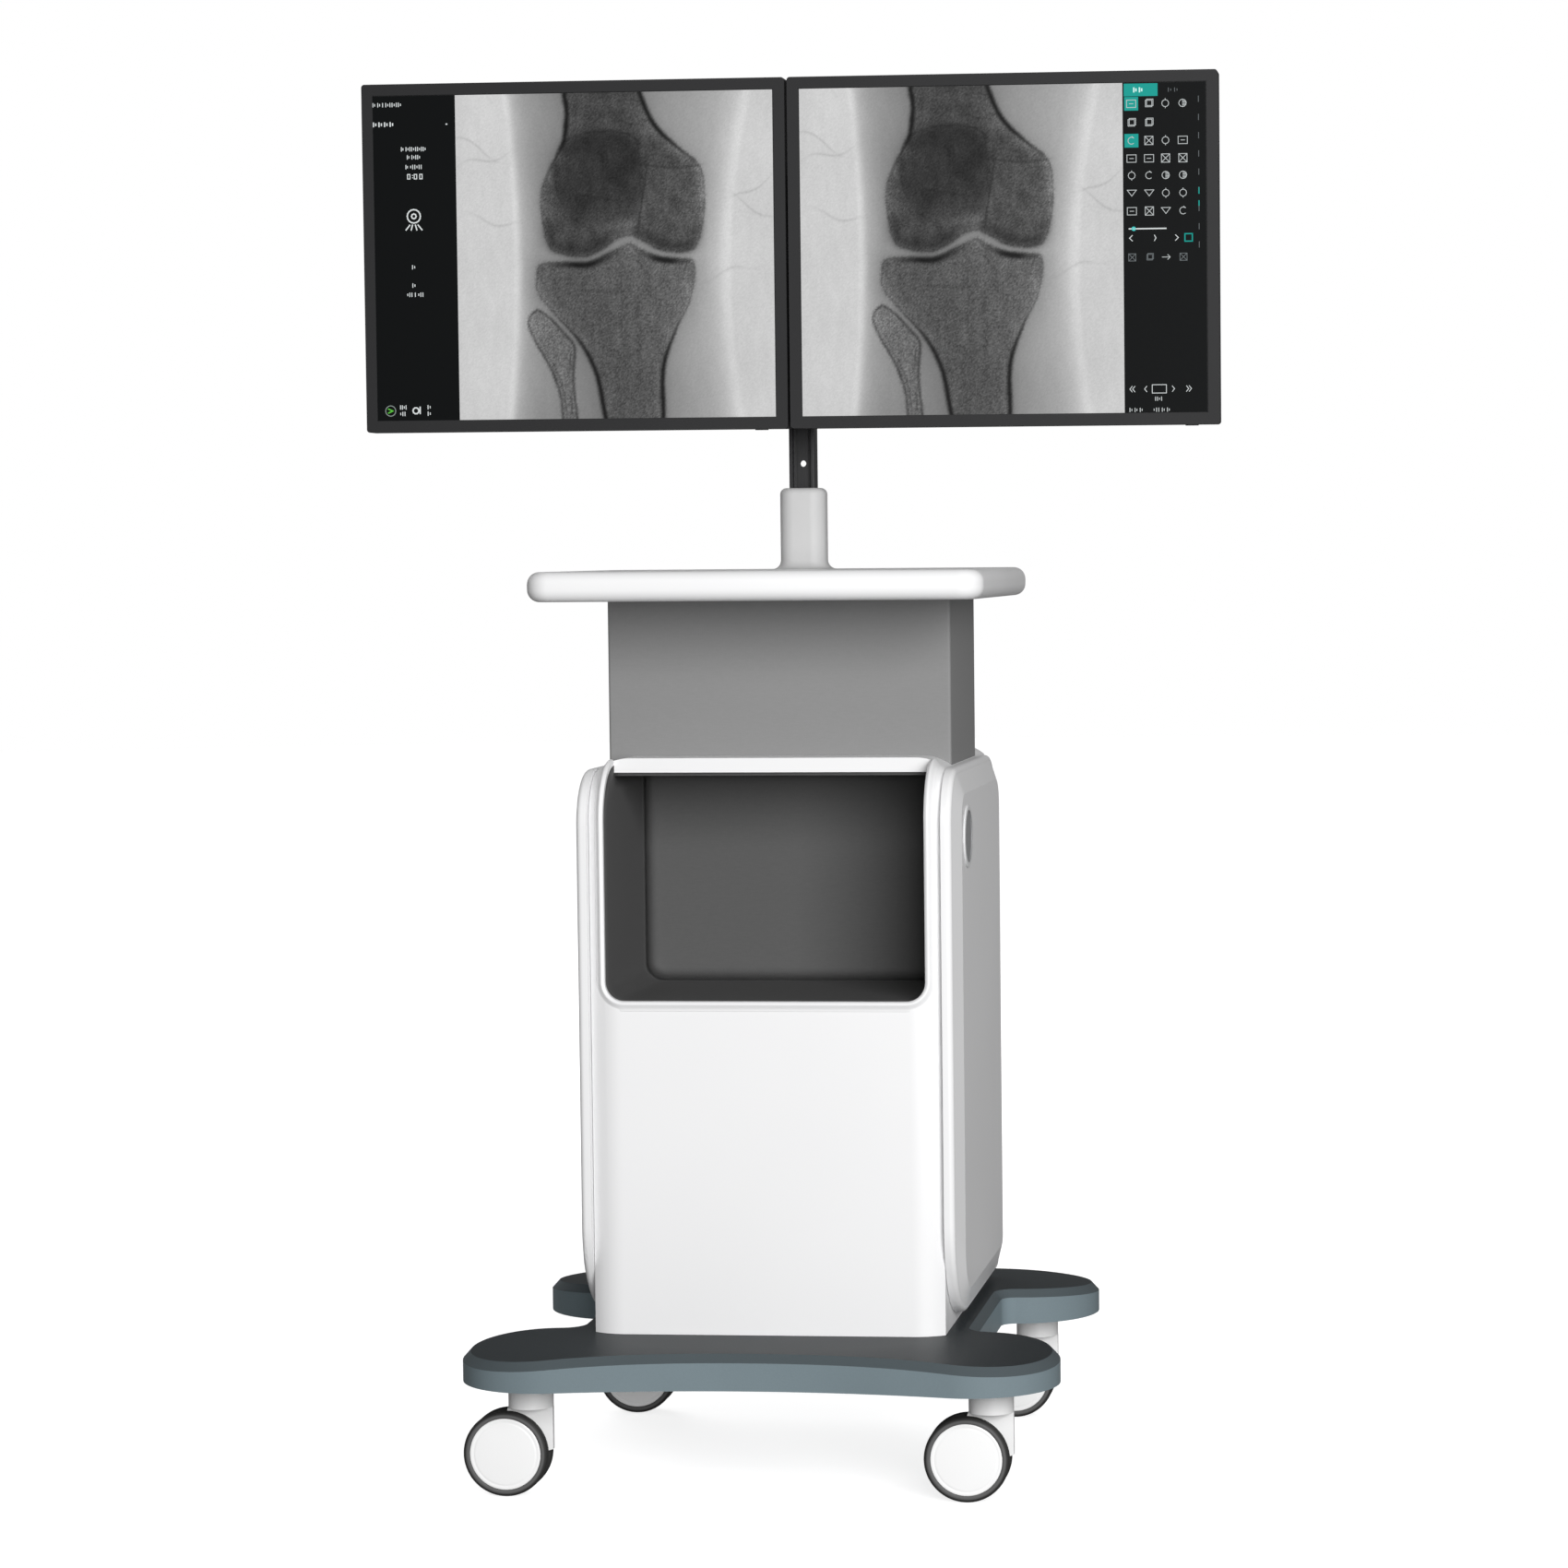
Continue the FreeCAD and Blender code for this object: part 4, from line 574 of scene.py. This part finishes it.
def ripple(s, t, seed, count, low, high):
    # band-limited grain: a sum of plane waves of random heading and phase, seeded
    rng = np.random.default_rng(seed)
    heading = rng.uniform(0, 2 * np.pi, count)
    pace = rng.uniform(low, high, count)
    phase = rng.uniform(0, 2 * np.pi, count)
    waves = np.sin(np.outer(s, pace * np.cos(heading)) + np.outer(t, pace * np.sin(heading)) + phase)
    return waves.sum(1) / math.sqrt(count)


def soften(x, width):
    # smooth step from zero to one: 1 / (1 + exp(-x / width))
    return 1 / (1 + np.exp(-np.clip(x / width, -30, 30)))


def tissue(s, t, look):
    # air outside the skin, flesh inside it: flesh + (skin - flesh) * exp(-depth / fat), with a bright line
    # just outside the skin, a slow unevenness and the dark folds of the cover
    leftSkin = look["leftSkin"] - 0.12 * (t - 0.48) ** 2
    rightSkin = look["rightSkin"] + 0.2 * (t - 0.42) ** 2
    depth = np.minimum(s - leftSkin, rightSkin - s)
    inside = soften(depth, look["skinBlur"])
    flesh = look["flesh"] + (look["skin"] - look["flesh"]) * np.exp(-np.clip(depth, 0, None) / look["fatDepth"])
    flesh += 0.10 * soften(s - 0.62, 0.06) - 0.02 * np.cos(5 * t)
    air = look["air"] + 0.03 * np.cos(3 * s + 1.3) - 0.03 * np.exp(-s / 0.06)
    level = air * (1 - inside) + flesh * inside
    level += 0.03 * hump(depth + 0.012, 0.010) + 0.010 * ripple(s, t, 3, 24, 4, 30)
    for across, up, slope in filmFolds:
        fold = hump((t - up) - slope * (s - across) - 0.012 * np.sin(38 * s), look["foldWidth"])
        level -= look["foldDark"] * fold * (1 - 0.6 * inside) * hump(s - across, look["foldReach"])
    return level, inside


def shaftShare(t, bone):
    # how far each height belongs to the bone's shaft
    if "shaft" in bone:
        return bone["shaft"] + 0 * t
    return soften(bone["upward"] * (t - bone["shaftFrom"]), bone["shaftBlur"])


def boneDetail(level, s, t, gap, bones, look):
    # lines and shades inside the bones, each a bell over its own curve: the fibula's second wall, the dense
    # shelf of the tibia, the femur's sole, the pale joint space, the kneecap and its edge, and fine lines
    level *= 1 - 0.16 * hump(gap["fibula"] - 0.019, 0.003) * soften(0.20 - t, 0.02)
    shelf = hump(gap["tibia"] - 0.012, 0.010) * soften(t - 0.43, 0.012)
    level *= 1 - 0.80 * shelf * (0.15 + hump(s - 0.40, 0.07) + hump(s - 0.655, 0.05)).clip(0, 1)
    sole = hump(gap["femur"] - 0.020, 0.022) * soften(0.60 - t, 0.015)
    level *= 1 - 0.34 * sole * (1 - 0.6 * hump(s - 0.53, 0.05))
    joint = soften(-gap["femur"], 0.003) * soften(-gap["tibia"], 0.003) * hump(t - 0.5, 0.035)
    level += 0.03 * joint * soften(s - 0.28, 0.012) * soften(0.755 - s, 0.012)
    cap = soften(gap["kneecap"], look["capEdge"]) * (0.35 + 0.65 * soften(t - 0.655, 0.02))
    level *= 1 - look["kneecap"] * cap * (0.86 + 0.22 * ripple(s, t, 8, 24, 14, 70))
    level *= 1 - 0.07 * bones * soften(t - 0.50, 0.01) * ripple(s, t, 21, 30, 25, 120)
    level *= 1 - 0.16 * hump(gap["kneecap"], 0.004) * soften(t - 0.66, 0.03)
    level *= 1 - 0.10 * hump(s - 0.37, 0.055) * hump(t - 0.72, 0.11)
    level *= 1 + 0.20 * hump(s - 0.51, 0.07) * hump(t - 0.60, 0.035)
    level *= 1 - 0.16 * hump(t - 0.672 - 0.012 * np.cos(16 * s), 0.005) * hump(s - 0.44, 0.10)
    rim = hump(t - 0.768 - 0.9 * (s - 0.69) ** 2, 0.004)
    level *= 1 - 0.20 * rim * soften(s - 0.585, 0.008) * soften(0.772 - s, 0.008)
    notch = hump(s - 0.592 - 0.02 * np.sin(9 * t), 0.004)
    level *= 1 - 0.30 * notch * soften(t - 0.57, 0.02) * soften(0.76 - t, 0.02)
    scar = hump(t - 0.398 - 0.01 * np.sin(9 * s), 0.004) * hump(s - 0.47, 0.09)
    return level * (1 - 0.14 * scar * bones)


def kneePicture(s, t, look):
    # grey levels of a plain film of a knee: tissue, then each bone multiplies what is left by one less its
    # share, with a dark line along its side, then the detail in the bones and a fine speckle
    level, inside = tissue(s, t, look)
    gap = {name: insideDistance(s, t, closedCurve(form)) for name, form in kneeForms.items()}
    grain = np.random.default_rng(12).standard_normal(len(s)).clip(-2, 2)
    speckle = look["speckle"] * grain + 0.05 * ripple(s, t * 0.3, 11, 40, 90, 260)
    bones = np.zeros_like(s)
    outside = np.clip(-np.maximum(gap["femur"], gap["tibia"]), 0, None)
    level *= 1 - 0.13 * np.exp(-outside / 0.05) * inside
    for name, bone in boneLook.items():
        deep, shaft = gap[name], shaftShare(t, bone)
        body = soften(deep, look["boneBlur"])
        bones = np.maximum(bones, body)
        filled = 1 - np.exp(-np.clip(deep, 0, None) / bone["wall"])
        level *= 1 - bone["holds"] * body * (0.40 + 0.60 * filled)
        line = hump(deep - 0.005 - 0.004 * shaft, 0.0030 + 0.0045 * shaft)
        level *= 1 - (0.13 + 0.62 * shaft) * line
    level = boneDetail(level, s, t, gap, bones, look)
    level *= 1 + speckle * (0.12 + 0.88 * bones)
    return np.clip(level, look["darkest"], look["brightest"])


def linear(level):
    # display tone to light: the usual 2.4 power with its straight foot
    return np.where(level <= 0.04045, level / 12.92, ((level + 0.055) / 1.055) ** 2.4)


def litPatch(name, x0, x1, z0, z1, columns, rows, paint, body, depth):
    # flat grid facing -Y, each vertex painted by a function of its place across and up the patch
    s, t = np.meshgrid(np.linspace(0, 1, columns), np.linspace(0, 1, rows), indexing="ij")
    x, z = x0 + s * (x1 - x0), z0 + t * (z1 - z0)
    points = np.stack([x, np.full_like(x, depth), z], axis=2)
    colour = paint(s.ravel(), t.ravel())
    return surface(name, points, "screenPicture", body, values={"picture": colour}, smooth=False)


def ribbons(strokes, width):
    # each straight stroke (x, z to x, z) becomes a quad of that width with square ends
    a = np.array([s[:2] for s in strokes], float)
    b = np.array([s[2:4] for s in strokes], float)
    run = b - a
    length = np.maximum(np.linalg.norm(run, axis=1, keepdims=True), 1e-9)
    run = run / length
    side = np.stack([-run[:, 1], run[:, 0]], axis=1) * width / 2
    return np.stack([a - run * width / 2 - side, b + run * width / 2 - side, b + run * width / 2 + side,
                     a - run * width / 2 + side], axis=1)


def lineStroke(x0, z0, x1, z1):
    # every sign is a list of strokes, each (x, z) to (x, z)
    return [(x0, z0, x1, z1)]


def chevron(tail, tip, z, half):
    return [(tail, z + half, tip, z), (tip, z, tail, z - half)]


def ringStrokes(x, z, r, steps=12, start=0.0, end=2 * math.pi):
    a = np.linspace(start, end, steps + 1)
    px, pz = x + r * np.cos(a), z + r * np.sin(a)
    return [(px[i], pz[i], px[i + 1], pz[i + 1]) for i in range(steps)]


def boxStrokes(x, z, w, h):
    return [(x - w, z - h, x + w, z - h), (x + w, z - h, x + w, z + h), (x + w, z + h, x - w, z + h),
            (x - w, z + h, x - w, z - h)]


def iconStrokes(kind, x, z, r):
    # small generic signs: frame, ring, cross, arrow, fan, half disc, turn-back; any other name, two frames
    if kind == "frame":
        return boxStrokes(x, z, r, r * 0.8) + [(x - r * 0.4, z, x + r * 0.4, z)]
    if kind == "ring":
        return ringStrokes(x, z, r * 0.75) + [(x, z - r, x, z - r * 0.8), (x, z + r * 0.8, x, z + r)]
    if kind == "cross":
        d = r * 0.9
        return boxStrokes(x, z, d, d) + [(x - d, z - d, x + d, z + d), (x - d, z + d, x + d, z - d)]
    if kind == "arrow":
        return [(x - r, z, x + r, z), (x + r * 0.4, z + r * 0.6, x + r, z), (x + r * 0.4, z - r * 0.6, x + r, z)]
    if kind == "fan":
        return [(x - r, z + r * 0.7, x + r, z + r * 0.7), (x - r, z + r * 0.7, x, z - r * 0.6),
                (x + r, z + r * 0.7, x, z - r * 0.6)]
    if kind == "half":
        heights = [z - r * 0.7 + k * r * 0.28 for k in range(6)]
        reaches = [x + r * 0.75 * math.cos(math.asin(min(1, abs(-0.93 + k * 0.37)))) for k in range(6)]
        return ringStrokes(x, z, r * 0.8) + [(x, h, reach, h) for h, reach in zip(heights, reaches)]
    if kind == "back":
        return ringStrokes(x, z, r * 0.75, 9, 0.9, 5.4) + [(x + r * 0.1, z + r * 0.9, x + r * 0.5, z + r * 0.6)]
    return boxStrokes(x, z, r * 0.7, r * 0.7) + boxStrokes(x + r * 0.25, z + r * 0.25, r * 0.7, r * 0.7)


tickLook = {"pitch": 0.0019, "tall": 0.0016, "short": 0.0007}


def dashes(x, z, widths, gap=0.0012):
    # a run of short plain ticks where a label would stand, unreadable on purpose
    out = []
    for w in widths:
        steps = max(1, round(w / tickLook["pitch"]))
        for k in range(steps):
            tall = tickLook["tall"] if (k * 7 + steps) % 3 else tickLook["short"]
            place = x + (k + 0.5) * w / steps
            out.append((place, z - tall, place, z + tall))
        x += w + gap
    return out


def centredDashes(x, z, widths):
    return dashes(x - sum(widths) / 2, z, widths)


def zeroStrokes(x, z, h):
    # the digit 0 drawn as the six outer segments of a readout
    w = h * 0.56
    segments = ((0, 2, 1, 2), (1, 2, 1, 1), (1, 1, 1, 0), (0, 0, 1, 0), (0, 1, 0, 0), (0, 2, 0, 1))
    return [(x + a * w, z + b * h / 2, x + c * w, z + d * h / 2) for a, b, c, d in segments]


# marks as (pen, sign, its place and sizes); a pen is a stroke width and a colour
white, teal = (0.86, 0.88, 0.88), (0.10, 0.62, 0.58)
leftPens = {"fine": (0.0008, white), "bold": (0.0012, white), "ring": (0.0007, (0.55, 0.60, 0.58)),
            "arrow": (0.0012, (0.35, 0.75, 0.25))}
leftMarks = [
    ("fine", dashes, (-0.3885, 1.2520, (0.0035, 0.0035, 0.0015, 0.016))),
    ("bold", dashes, (-0.3885, 1.2340, (0.0045, 0.0045, 0.0045, 0.0045), 0.0008)),
    ("bold", lineStroke, (-0.3185, 1.2335, -0.3180, 1.2335)),
    ("fine", centredDashes, (-0.3505, 1.2110, (0.003, 0.020))),
    ("fine", centredDashes, (-0.3505, 1.2035, (0.003, 0.009))),
    ("fine", centredDashes, (-0.3505, 1.1945, (0.003, 0.012))),
    ("fine", zeroStrokes, (-0.3559, 1.1835, 0.0042)),
    ("fine", zeroStrokes, (-0.3495, 1.1835, 0.0042)),
    ("fine", zeroStrokes, (-0.34438, 1.1835, 0.0042)),
    ("fine", lineStroke, (-0.3510, 1.1846, -0.3509, 1.1846)),
    ("fine", lineStroke, (-0.3510, 1.1868, -0.3509, 1.1868)),
    ("bold", ringStrokes, (-0.3505, 1.1490, 0.0062, 16)),
    ("bold", ringStrokes, (-0.3505, 1.1490, 0.0022, 8)),
    ("bold", lineStroke, (-0.3545, 1.1408, -0.3580, 1.1365)),
    ("bold", lineStroke, (-0.3519, 1.1408, -0.353125, 1.1365)),
    ("bold", lineStroke, (-0.3491, 1.1408, -0.347875, 1.1365)),
    ("bold", lineStroke, (-0.3465, 1.1408, -0.3430, 1.1365)),
    ("fine", centredDashes, (-0.3515, 1.1020, (0.004,))),
    ("fine", centredDashes, (-0.3515, 1.0850, (0.004,))),
    ("fine", centredDashes, (-0.3515, 1.0765, (0.006, 0.002, 0.006))),
    ("ring", ringStrokes, (-0.3755, 0.9690, 0.0048, 16)),
    ("arrow", chevron, (-0.3775, -0.3735, 0.9690, 0.0018)),
    ("fine", dashes, (-0.3670, 0.9722, (0.007,))),
    ("fine", dashes, (-0.3670, 0.9662, (0.006,))),
    ("fine", dashes, (-0.3410, 0.9722, (0.004,))),
    ("fine", dashes, (-0.3410, 0.9662, (0.004,))),
    ("bold", ringStrokes, (-0.3515, 0.9690, 0.0028, 10)),
    ("bold", lineStroke, (-0.3475, 0.9665, -0.3475, 0.9722)),
]
tabPens = {"tab": (0.0115, teal), "key": (0.0124, teal)}
tabMarks = [
    ("tab", lineStroke, (0.3180, 1.2535, 0.3375, 1.2535)),
    ("key", lineStroke, (0.3188, 1.2410, 0.3192, 1.2410)),
    ("key", lineStroke, (0.3188, 1.2075, 0.3192, 1.2075)),
]
iconColumns = (0.3190, 0.3350, 0.3502, 0.3660)
iconRows = {1.2410: ("frame", "turn", "ring", "half"), 1.2237: ("turn", "turn"),
            1.2075: ("back", "cross", "ring", "frame"), 1.1913: ("frame", "frame", "cross", "cross"),
            1.1759: ("ring", "back", "half", "half"), 1.1597: ("fan", "fan", "ring", "ring"),
            1.1435: ("frame", "cross", "fan", "back")}
rightPens = {"light": (0.0006, (0.76, 0.78, 0.78)), "dim": (0.0006, (0.42, 0.44, 0.45)), "teal": (0.0011, teal),
             "slider": (0.0012, white), "knob": (0.0014, (0.3, 0.8, 0.78)), "play": (0.0007, white),
             "foot": (0.0006, white), "tab": (0.0014, (0.8, 0.95, 0.93))}
rightMarks = [("light", iconStrokes, (kind, x, z, 0.0042))
              for z, kinds in iconRows.items() for x, kind in zip(iconColumns, kinds)]
rightMarks += [
    ("light", iconStrokes, ("arrow", 0.3502, 1.1015, 0.0036)),
    ("dim", iconStrokes, ("cross", 0.3190, 1.1015, 0.0036)),
    ("dim", iconStrokes, ("turn", 0.3350, 1.1015, 0.0036)),
    ("dim", iconStrokes, ("cross", 0.3660, 1.1015, 0.0036)),
    ("dim", dashes, (0.3520, 1.2532, (0.0045, 0.0045))),
    ("teal", lineStroke, (0.3805, 1.1640, 0.3805, 1.1590)),
    ("teal", lineStroke, (0.3805, 1.1520, 0.3805, 1.1480)),
    ("teal", boxStrokes, (0.3708, 1.1190, 0.0034, 0.0034)),
    ("slider", lineStroke, (0.3165, 1.1275, 0.3500, 1.1275)),
    ("knob", ringStrokes, (0.3205, 1.1275, 0.0012, 8)),
    ("play", chevron, (0.3192, 0.3166, 1.1190, 0.0025)),
    ("play", chevron, (0.3395, 0.3409, 1.1190, 0.0025)),
    ("play", chevron, (0.3588, 0.3614, 1.1190, 0.0025)),
    ("foot", chevron, (0.3180, 0.3160, 0.9815, 0.0025)),
    ("foot", chevron, (0.3205, 0.3185, 0.9815, 0.0025)),
    ("foot", chevron, (0.3315, 0.3295, 0.9815, 0.0025)),
    ("foot", chevron, (0.3550, 0.3570, 0.9815, 0.0025)),
    ("foot", chevron, (0.3680, 0.3700, 0.9815, 0.0025)),
    ("foot", chevron, (0.3705, 0.3725, 0.9815, 0.0025)),
    ("foot", boxStrokes, (0.3430, 0.9815, 0.0065, 0.0038)),
    ("foot", dashes, (0.3385, 0.9725, (0.0075,))),
    ("foot", dashes, (0.3150, 0.9625, (0.0035, 0.0035, 0.0035))),
    ("foot", dashes, (0.3370, 0.9625, (0.0065, 0.0035, 0.0035))),
    ("tab", dashes, (0.3205, 1.2535, (0.004, 0.004))),
]
# column of short lines down the right edge
edgeTicks = {"count": 9, "x": 0.3805, "top": 1.247, "long": 0.005, "pitch": 0.0165}
for k in range(edgeTicks["count"]):
    top = edgeTicks["top"] - k * edgeTicks["pitch"]
    rightMarks.append(("dim", lineStroke, (edgeTicks["x"], top, edgeTicks["x"], top - edgeTicks["long"])))


def inkPiece(name, pens, marks, depth, body):
    # flat marks facing -Y: each pen's strokes as quads of its width that glow in its colour
    quads, colours = [], []
    for pen, (width, colour) in pens.items():
        strokes = [stroke for used, sign, values in marks if used == pen for stroke in sign(*values)]
        quads.append(ribbons(strokes, width))
        colours.append(np.tile(linear(np.array(colour)), (len(strokes) * 4, 1)))
    flat = np.vstack(quads).reshape(-1, 2)
    points = np.stack([flat[:, 0], np.full(len(flat), depth), flat[:, 1]], axis=1)
    mesh = bpy.data.meshes.new(name)
    mesh.from_pydata(points, [], np.arange(len(flat)).reshape(-1, 4).tolist())
    piece = finishPiece(name, mesh, "screenPicture", body, {"picture": np.vstack(colours)}, False)


def screens(look):
    # on each screen the film, a dark bar beside it, and the marks on the bar a little in front
    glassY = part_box("lcd_panel_left")[0].y - look["lift"]
    film = lambda s, t: np.repeat(linear(kneePicture(s, t, kneeLook))[:, None], 3, axis=1)
    dark = lambda s, t: np.tile(linear(np.array(look["barTone"])), (len(s), 1))
    for name, place in screenPlaces.items():
        for kind, paint in (("picture", film), ("bar", dark)):
            piece = litPatch(kind + "_" + name, *place[kind], *look["heights"], *look[kind + "Grid"], paint,
                             "monitor_" + name, glassY)
    inkPiece("marks_left", leftPens, leftMarks, glassY - look["inkLift"], "monitor_left")
    inkPiece("tealMarks_right", tabPens, tabMarks, glassY - look["tabLift"], "monitor_right")
    inkPiece("marks_right", rightPens, rightMarks, glassY - look["inkLift"], "monitor_right")


screens(screenLook)
print("screens painted")


# ---- floor, light and camera

studio = {"floorTone": (0.56, 0.56, 0.565), "floorCloud": 0.98, "floorRough": 0.85, "floorPoints": 5,
          "floorDrop": 0.0002, "nearGlow": 0.80, "farGlow": 0.96, "glowFrom": 0.8, "glowTo": 2.6,
          "worldLevel": 0.19, "domeRadius": 15.0, "domeTurns": 48, "domeRows": 13, "domeFoot": -0.1,
          "domeGap": 0.02, "keyPower": 264.0, "keyPlace": (1.9, -4.35, 1.7), "keySize": 2.6,
          "fillPower": 110.0, "fillPlace": (-2.2, 3.8, 2.6), "fillSize": 3.0, "aim": (0, 0, 0.6)}


def stagePiece(name, points, material, closeU=False, flip=False):
    # studio surface over a grid of points, hidden from the object's own light
    mesh = bpy.data.meshes.new(name)
    mesh.from_pydata(points.reshape(-1, 3), [], gridQuads(*points.shape[:2], closeU, False, flip))
    mesh.materials.append(material)
    made = bpy.data.objects.new(name, mesh)
    bpy.context.scene.collection.objects.link(made)
    made.visible_diffuse = False
    made.visible_glossy = False
    return made


def studioFloor(look):
    # flat pale sweep that glows more with its distance, so that it runs into the backdrop with no horizon
    t = np.linspace(-1, 1, look["floorPoints"]) * look["domeRadius"]
    x, y = np.meshgrid(t, t, indexing="ij")
    g = Graph("floorPale")
    tone = look["floorTone"]
    clouded = g.mix(g.noise(0.6, 2.0), tuple(c * look["floorCloud"] for c in tone), tone)
    g.set(Base_Color=clouded, Roughness=look["floorRough"], Specular_IOR_Level=0.1)
    away = g.node("VectorMath", {"operation": "LENGTH"}, {0: g.place}, "Value")
    glow = g.node("MapRange", {}, {"Value": away, "From Min": look["glowFrom"], "From Max": look["glowTo"],
                                   "To Min": look["nearGlow"], "To Max": look["farGlow"]})
    g.set(Emission_Color=g.mix(glow, (0.0, 0.0, 0.0), (1.0, 1.0, 1.0)), Emission_Strength=1.0)
    stagePiece("studioFloor", np.stack([x, y, 0 * x - look["floorDrop"]], axis=2), g.material)


def studioBackdrop(look):
    # white dome round the studio: radius times (cos turn cos rise, sin turn cos rise, sin rise)
    turn = np.linspace(0, 2 * np.pi, look["domeTurns"], endpoint=False)
    rise = np.linspace(look["domeFoot"], np.pi / 2 - look["domeGap"], look["domeRows"])
    turn, rise = np.meshgrid(turn, rise, indexing="ij")
    points = np.stack([np.cos(turn) * np.cos(rise), np.sin(turn) * np.cos(rise), np.sin(rise)], axis=2)
    g = Graph("backdropWhite")
    g.set(Base_Color=(0, 0, 0, 1), Specular_IOR_Level=0.0, Emission_Color=(1, 1, 1, 1), Emission_Strength=1.0)
    dome = stagePiece("studioBackdrop", look["domeRadius"] * points, g.material, closeU=True, flip=True)
    dome.visible_transmission = False
    dome.visible_shadow = False


def studioLight(look):
    # even white world, a key light from the front right and a fill from behind, both aimed at the trolley
    world = bpy.data.worlds.new("studioWorld")
    bpy.context.scene.world = world
    world.use_nodes = True
    back = world.node_tree.nodes["Background"]
    back.inputs["Color"].default_value = (1, 1, 1, 1)
    back.inputs["Strength"].default_value = look["worldLevel"]
    for name in ("key", "fill"):
        lamp = bpy.data.lights.new(name + "Light", "AREA")
        lamp.energy = look[name + "Power"]
        lamp.size = look[name + "Size"]
        light = bpy.data.objects.new(name + "Light", lamp)
        bpy.context.scene.collection.objects.link(light)
        light.location = look[name + "Place"]
        aim = Vector(look["aim"]) - light.location
        light.rotation_mode = "QUATERNION"
        light.rotation_quaternion = aim.to_track_quat("-Z", "Y")
        light.visible_glossy = name == "key"
    bpy.context.scene.view_settings.view_transform = "Standard"


cameraPlace = {"x": 0.65825, "y": -3.86513, "z": 0.83543, "yaw": -0.09592, "pitch": 0.05515, "roll": -0.00779,
               "lens": 97.669, "sensor": 36, "shift": -0.2, "clipEnd": 60}


def photoCamera(place):
    # camera fitted to the photo: yaw about Z, then pitch down, then roll about the line of sight
    data = bpy.data.cameras.new("photoCamera")
    data.sensor_width = place["sensor"]
    data.lens = place["lens"]
    data.shift_x = place["shift"]
    data.clip_end = place["clipEnd"]
    (cy, sy), (cp, sp), (cr, sr) = [(math.cos(place[k]), math.sin(place[k])) for k in ("yaw", "pitch", "roll")]
    forward = Vector((sy * cp, cy * cp, -sp))
    right = Vector((cy, -sy, 0))
    up = right.cross(forward)
    turn = Matrix((right * cr + up * sr, up * cr - right * sr, -forward)).transposed()
    camera = bpy.data.objects.new("photoCamera", data)
    bpy.context.scene.collection.objects.link(camera)
    camera.matrix_world = Matrix.Translation((place["x"], place["y"], place["z"])) @ turn.to_4x4()
    bpy.context.scene.camera = camera


studioFloor(studio)
studioBackdrop(studio)
studioLight(studio)
photoCamera(cameraPlace)
print("studio set")
